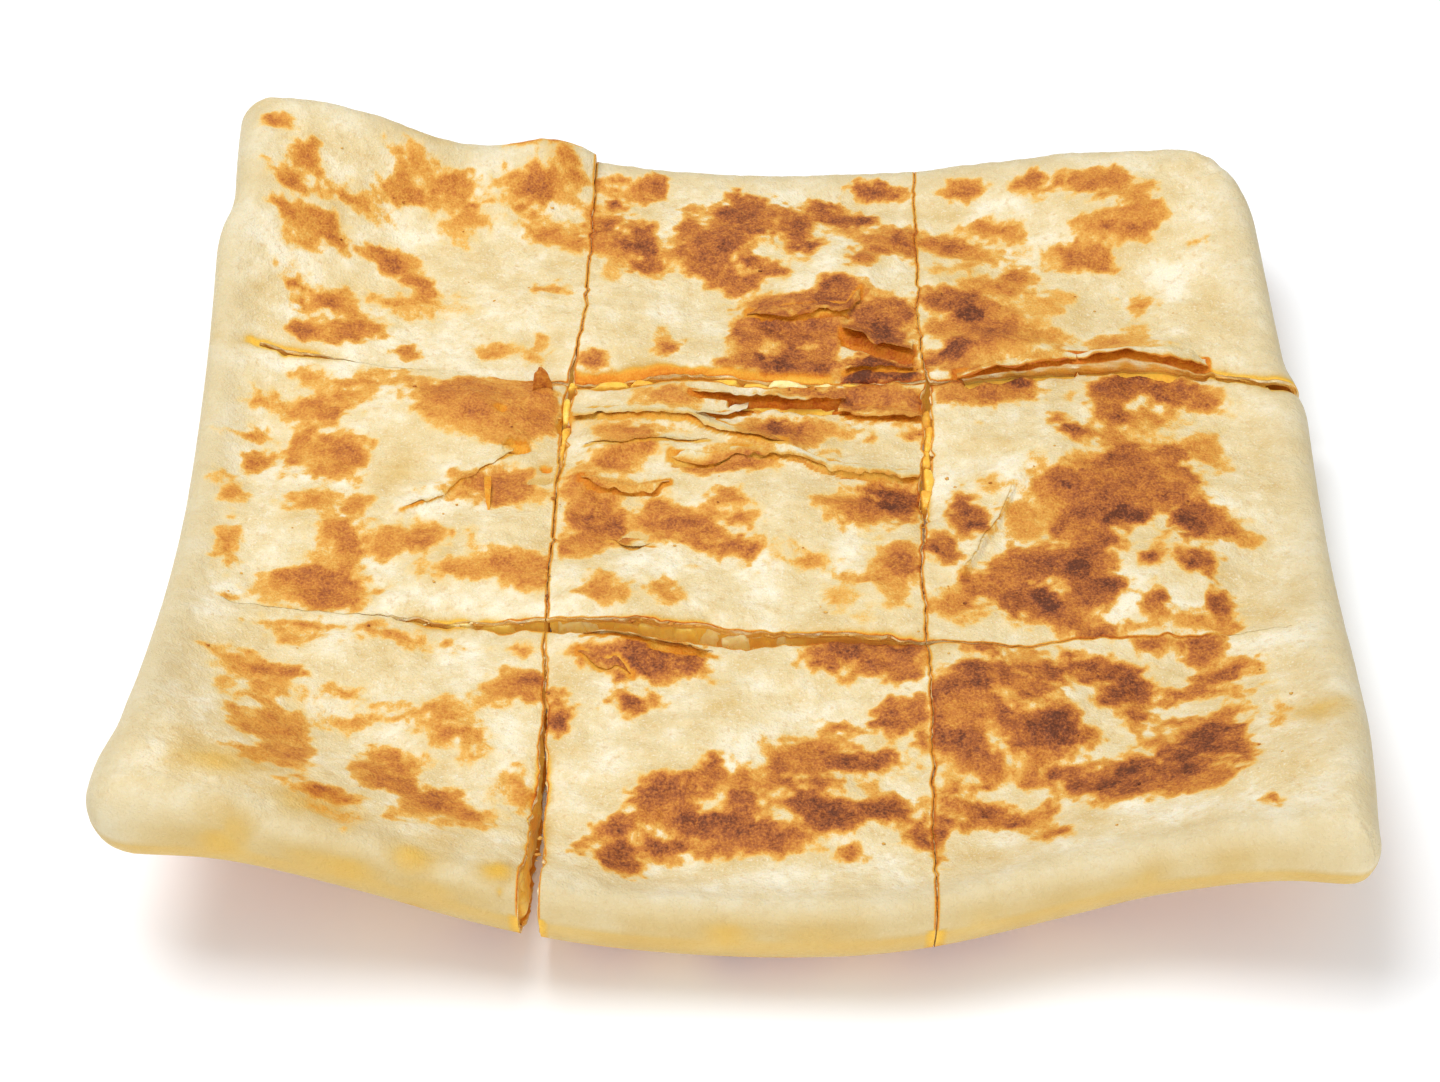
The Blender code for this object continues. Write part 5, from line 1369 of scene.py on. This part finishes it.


def filling_material():
    """Set egg and banana: the pale attribute runs from brown, well-fried egg to pale banana, and its low values at
    the right end of the front cut are painted shade. A faint painted glow keeps the filling bright in the shaded
    gaps.
    """
    material, tree, shader = surface_material("egg and banana")
    lumps = noise(tree, 260.0, 3.0, 0.55)
    fine = noise(tree, 1300.0, 3.0, 0.6)
    tone = maths(tree, "ADD", attribute(tree, "pale"), maths(tree, "MULTIPLY_ADD", lumps, 0.7, -0.35))
    colour = ramp(tree, tone, [(0.0, linear(216, 128, 28)), (0.3, linear(238, 164, 40)),
                               (0.55, linear(250, 198, 68)), (0.8, linear(252, 222, 122)),
                               (1.0, linear(253, 238, 178))])
    shade = ramp(tree, fine, [(0.3, linear(238, 232, 220)), (0.6, linear(255, 255, 255))])
    colour = blend(tree, 1.0, colour, shade, "MULTIPLY")
    tree.links.new(colour, shader.inputs["Base Color"])
    # Painted glow: the filling gives off a little light of its own, standing in for light through the thin moist
    # bread from above, so that it stays bright in the shaded gaps.
    shader.inputs["Emission Color"].default_value = linear(244, 214, 108)
    shader.inputs["Emission Strength"].default_value = FILLING_PAINTED_GLOW
    rough = maths(tree, "MULTIPLY_ADD", fine, 0.35, 0.2)
    tree.links.new(rough, shader.inputs["Roughness"])
    shader.inputs["Subsurface Weight"].default_value = 0.3
    shader.inputs["Subsurface Radius"].default_value = (0.003, 0.0018, 0.0006)
    shader.inputs["Subsurface Scale"].default_value = 1.0
    bump(tree, shader, maths(tree, "ADD", lumps, maths(tree, "MULTIPLY", fine, 0.4)), 0.0004)
    return material


FILLING_MATERIAL = filling_material()
for column in range(3):
    for row in range(3):
        piece, node = filling_piece(column, row)
        piece.data.materials.append(FILLING_MATERIAL)
        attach(piece, "root")
        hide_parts(node)

# ---------------------------------------------------------------------------------------------
# Pieces of banana and curds of egg that stand at the open cuts, cut through with the bread.
# Each is bedded in its slice's filling and shows a smooth face to the gap.

# (x, y, z, half width, half depth, half height, how pale), in mm.
CHUNKS = [
    (-26.0, -26.6, 10.2, 2.6, 1.5, 3.4, 1.00), (-21.9, -26.7, 10.6, 2.0, 1.2, 3.2, 1.00),
    (-17.6, -27.2, 9.6, 2.6, 0.9, 3.4, 0.52), (-12.4, -27.2, 9.9, 3.0, 1.0, 3.4, 0.67),
    (-8.0, -27.8, 9.5, 1.8, 1.1, 3.3, 0.60), (-3.4, -27.3, 9.9, 2.7, 1.0, 3.0, 0.94),
    (0.4, -28.6, 9.2, 2.2, 0.9, 3.2, 1.00), (3.6, -27.8, 10.0, 1.7, 1.1, 3.2, 1.00),
    (7.6, -28.2, 10.0, 2.0, 0.8, 3.0, 0.92), (11.6, -27.6, 9.9, 1.6, 1.0, 3.0, 0.84),
    # The two at the right end of the front cut are dark: painted shade of the hollow under the centre slice's edge.
    (15.4, -28.0, 9.0, 2.4, 0.8, 3.0, 0.28), (24.0, -28.4, 8.8, 2.6, 0.8, 3.0, 0.15),
    (-24.0, 31.5, 11.0, 3.6, 0.6, 1.9, 0.55), (-17.0, 31.9, 11.3, 2.6, 0.9, 2.0, 0.45),
    (-11.6, 31.5, 11.1, 3.0, 0.9, 2.0, 0.62), (-4.8, 32.1, 11.4, 4.2, 0.8, 2.0, 0.55),
    (2.0, 31.7, 11.0, 2.4, 1.0, 1.9, 0.66), (7.4, 32.1, 11.5, 3.8, 0.9, 2.0, 0.95),
    (13.4, 31.7, 11.1, 2.6, 1.0, 2.0, 0.88), (18.6, 31.9, 11.2, 2.8, 0.8, 1.9, 0.60),
    (24.2, 31.5, 10.8, 2.6, 0.8, 1.9, 0.35),
    (30.4, 4.0, 10.9, 0.8, 2.0, 1.9, 0.35), (30.9, 8.6, 11.2, 0.9, 3.2, 2.0, 0.48),
    (30.5, 14.2, 10.9, 0.8, 2.4, 2.0, 0.38), (31.1, 19.0, 11.2, 0.8, 3.0, 1.9, 0.52),
    (30.7, 24.6, 11.0, 0.8, 2.4, 1.9, 0.42),
    (-30.1, 24.4, 11.2, 0.7, 3.4, 1.9, 0.58), (-29.8, 18.0, 11.0, 0.7, 2.6, 1.9, 0.46),
    (-30.3, 12.6, 11.0, 0.7, 3.0, 1.9, 0.40), (-29.3, 31.4, 11.0, 0.9, 1.1, 1.9, 0.50),
    (-30.8, -64.0, 9.4, 0.9, 3.2, 3.0, 0.70), (-30.6, -72.0, 9.6, 0.9, 3.6, 3.4, 0.65),
    (-30.4, -80.0, 9.8, 0.9, 3.6, 3.4, 0.70),
    (-52.0, -27.2, 10.0, 3.0, 0.9, 2.2, 0.60), (-45.0, -27.3, 9.8, 3.4, 1.0, 2.4, 0.75),
    (-38.0, -27.2, 9.8, 3.0, 1.1, 2.4, 0.65),
]


def ball_faces(rounds, rings):
    """Quads between the rings of a ball and triangles to its bottom and top points, which are
    numbered after the rings."""
    n = np.arange(rounds * rings).reshape(rounds, rings)
    after = np.roll(n, -1, axis=0)
    quads = np.stack([n[:, :-1], after[:, :-1], after[:, 1:], n[:, 1:]], -1).reshape(-1, 4)
    bottom, top = rounds * rings, rounds * rings + 1
    caps = np.concatenate([np.stack([after[:, 0], n[:, 0], np.full(rounds, bottom)], -1),
                           np.stack([n[:, -1], after[:, -1], np.full(rounds, top)], -1)])
    return quads, caps


def rounded_block(x, y, z, ax, ay, az, pale, seed):
    """A block with rounded edges: a ball whose sines and cosines are raised to the power 0.5,
    sized to its half lengths, leaned over and roughened by noise.  u goes round, v from pole to pole."""
    u = np.linspace(0.0, 2.0 * math.pi, 29)[:-1][:, None]
    v = np.linspace(-math.pi / 2, math.pi / 2, 17)[None, 1:-1]

    def squared(values):
        return np.sign(values) * np.abs(values) ** 0.5

    px = ax * squared(np.cos(v)) * squared(np.cos(u))
    py = ay * squared(np.cos(v)) * squared(np.sin(u))
    pz = az * squared(np.sin(v)) + 0 * u
    lean = 0.45 * math.sin(1.7 * seed) if ax > ay else 0.0
    px, pz = px * math.cos(lean) - pz * math.sin(lean), px * math.sin(lean) + pz * math.cos(lean)
    out = 1.0 + 0.22 * mottle(px + pz, py + seed, 2.0, 601) + 0.08 * mottle(px - pz, py + seed, 0.7, 602)
    grid = np.stack([x + px * out, y + py * out, z + pz * out], -1).reshape(-1, 3)
    quads, caps = ball_faces(*px.shape)
    pole_x, pole_z = az * math.sin(lean), az * math.cos(lean)
    points = np.concatenate([grid, [(x + pole_x, y, z - pole_z), (x - pole_x, y, z + pole_z)]])
    points[:, 2] = np.minimum(points[:, 2], z + az)
    return points, quads, caps, pale


def many(name, shapes, label):
    """One mesh from many closed shapes, each with one value of the named attribute."""
    points, polygons, values, start = [], [], [], 0
    for shape, quads, caps, value in shapes:
        points.append(shape)
        polygons += (quads + start).tolist() + (caps + start).tolist()
        values.append(np.full(len(shape), value, np.float32))
        start += len(shape)
    mesh = bpy.data.meshes.new(name)
    mesh.from_pydata(to_frame(np.concatenate(points)), [], polygons)
    mesh.attributes.new(label, "FLOAT", "POINT").data.foreach_set("value", np.concatenate(values))
    mesh.validate()
    mesh.shade_smooth()
    obj = bpy.data.objects.new(name, mesh)
    bpy.context.scene.collection.objects.link(obj)
    return obj


chunks = many("banana_pieces", [rounded_block(*entry, seed=5 * n) for n, entry in enumerate(CHUNKS)], "pale")
chunks.data.materials.append(FILLING_MATERIAL)
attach(chunks, "root")

# ---------------------------------------------------------------------------------------------
# Crumbs: torn shreds of dough along the cut edges, and a few loose ones on top.
# They are irregular flakes from a fraction of a millimetre to a millimetre and a half.

LOOSE_CRUMBS = 70
rng = np.random.default_rng(71)


def shreds():
    """Small flattened blocks along the cuts: place, half lengths and heat, all seeded."""
    made = []
    # (start, end, which side of the cut, how many, slice)
    runs = [((-28, -27.9), (28, -29.7), (1, 1), 22, -0.1), ((-27, -31.6), (26, -33.2), (1, 0), 14, -0.1),
            ((-56, -28.0), (-31, -28.4), (0, 1), 10, -0.1), ((-28, 30.6), (28, 30.2), (1, 1), 10, 0.0),
            ((29.6, -20), (29.2, 24), (1, 1), 10, 0.0), ((-28.0, -84), (-28.2, -34), (1, 0), 8, 0.0),
            ((31.6, -26), (31.8, 22), (2, 1), 8, 0.0), ((-31.0, -24), (-31.0, 24), (0, 1), 8, 0.0)]
    for start, end, place, count, out in runs:
        t = rng.random(count)
        x = start[0] + (end[0] - start[0]) * t + rng.normal(0, 0.15, count)
        y = start[1] + (end[1] - start[1]) * t + rng.normal(0, 0.2, count) + out
        level, heat = sample(*place, x, y, (SKIN_LEVEL - DROOP, SKIN_HEAT))
        size = 0.12 + 0.26 * rng.random(count) ** 2
        for n in range(count):
            made.append((x[n], y[n], level[n] - 0.15 - 0.5 * rng.random(), size[n] * rng.uniform(0.8, 2.2),
                         size[n] * rng.uniform(0.7, 1.2), size[n] * rng.uniform(0.3, 0.7),
                         0.16 + heat[n] * 0.6))
    x, y = rng.uniform(-84, 86, LOOSE_CRUMBS), rng.uniform(-80, 84, LOOSE_CRUMBS)
    for n in range(LOOSE_CRUMBS):
        column = int(x[n] > -29) + int(x[n] > 31)
        row = int(y[n] > -30) + int(y[n] > 33)
        level, heat = sample(column, row, x[n:n + 1], y[n:n + 1], (SKIN_LEVEL, SKIN_HEAT))
        size = 0.12 + 0.2 * rng.random() ** 2
        made.append((x[n], y[n], level[0] + 0.3 * size, size * 1.3, size, size * 0.6,
                     min(1.0, heat[0] + 0.3)))
    return made


def shred(x, y, z, ax, ay, az, heat, seed):
    """A crumb: a coarse rounded block with strong noise."""
    u = np.linspace(0.0, 2.0 * math.pi, 9)[:-1][:, None]
    v = np.linspace(-math.pi / 2, math.pi / 2, 6)[None, 1:-1]
    px, py, pz = ax * np.cos(v) * np.cos(u), ay * np.cos(v) * np.sin(u), az * np.sin(v) + 0 * u
    out = 1.0 + 0.45 * mottle(px / ax * 2 + seed, py / ay * 2 + pz / az, 0.9, 603)
    grid = np.stack([x + px * out, y + py * out, z + pz * out], -1).reshape(-1, 3)
    quads, caps = ball_faces(*px.shape)
    return np.concatenate([grid, [(x, y, z - az), (x, y, z + az)]]), quads, caps, heat


crumbs = many("dough_crumbs", [shred(*entry, seed=3.7 * n) for n, entry in enumerate(shreds())], "scorch")
crumbs.data.materials.append(CRUST_MATERIAL)
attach(crumbs, "root")

# ---------------------------------------------------------------------------------------------
# The table, the light and the camera.  The floor is a plain pale sheet under the bread.

FLOOR_SIZE = 3.0
FLOOR_DROP = 0.0002
FLOOR_GLOW = 0.07
WORLD_LIGHT = 0.48
bpy.ops.mesh.primitive_plane_add(size=FLOOR_SIZE, location=(0.0, 0.0, -FLOOR_DROP))
floor = bpy.context.object
floor.name = "floor"
material, tree, shader = surface_material("pale table")
shader.inputs["Base Color"].default_value = linear(249, 252, 255)
shader.inputs["Roughness"].default_value = 0.85
shader.inputs["Emission Color"].default_value = (1.0, 1.0, 1.0, 1.0)
shader.inputs["Emission Strength"].default_value = FLOOR_GLOW
floor.data.materials.append(material)

world = bpy.data.worlds.new("studio")
world.use_nodes = True
world.node_tree.nodes["Background"].inputs["Color"].default_value = (1.0, 1.0, 1.0, 1.0)
world.node_tree.nodes["Background"].inputs["Strength"].default_value = WORLD_LIGHT
bpy.context.scene.world = world


def soft_light(name, place, aim, size, watts):
    """A square soft box that faces a point."""
    lamp = bpy.data.lights.new(name, "AREA")
    lamp.size = size
    lamp.energy = watts
    obj = bpy.data.objects.new(name, lamp)
    obj.location = place
    obj.rotation_euler = (Vector(aim) - Vector(place)).to_track_quat("-Z", "Y").to_euler()
    bpy.context.scene.collection.objects.link(obj)


soft_light("key", (-0.30, 0.12, 0.85), (0, 0, 0), 0.6, 6.3)
soft_light("fill", (0.25, -0.85, 0.32), (0, 0, 0), 0.7, 4.2)

# The camera looks down at 42 degrees from the front.
ELEVATION = math.radians(42.06)
AZIMUTH = math.radians(1.27)
ROLL = math.radians(0.40)
DISTANCE = 0.54598
LENS = 84.52             # mm, on a sensor 36 mm wide
SENSOR = 36.0
AIM = np.array((-3.2, -9.1, 14.0))
back = Vector((math.sin(AZIMUTH) * math.cos(ELEVATION),
               -math.cos(AZIMUTH) * math.cos(ELEVATION), math.sin(ELEVATION)))
right = Vector((math.cos(AZIMUTH), math.sin(AZIMUTH), 0.0))
up = back.cross(right)
right, up = (math.cos(ROLL) * right + math.sin(ROLL) * up, -math.sin(ROLL) * right + math.cos(ROLL) * up)
camera_data = bpy.data.cameras.new("camera")
camera_data.lens = LENS
camera_data.sensor_width = SENSOR
camera_data.clip_start = 0.01
camera = bpy.data.objects.new("camera", camera_data)
bpy.context.scene.collection.objects.link(camera)
turn = Matrix((right, up, back)).transposed()
camera.matrix_world = Matrix.Translation(Vector(to_frame(AIM)) + back * DISTANCE) @ turn.to_4x4()
bpy.context.scene.camera = camera

scene = bpy.context.scene
scene.view_settings.view_transform = "Standard"
scene.view_settings.look = "None"
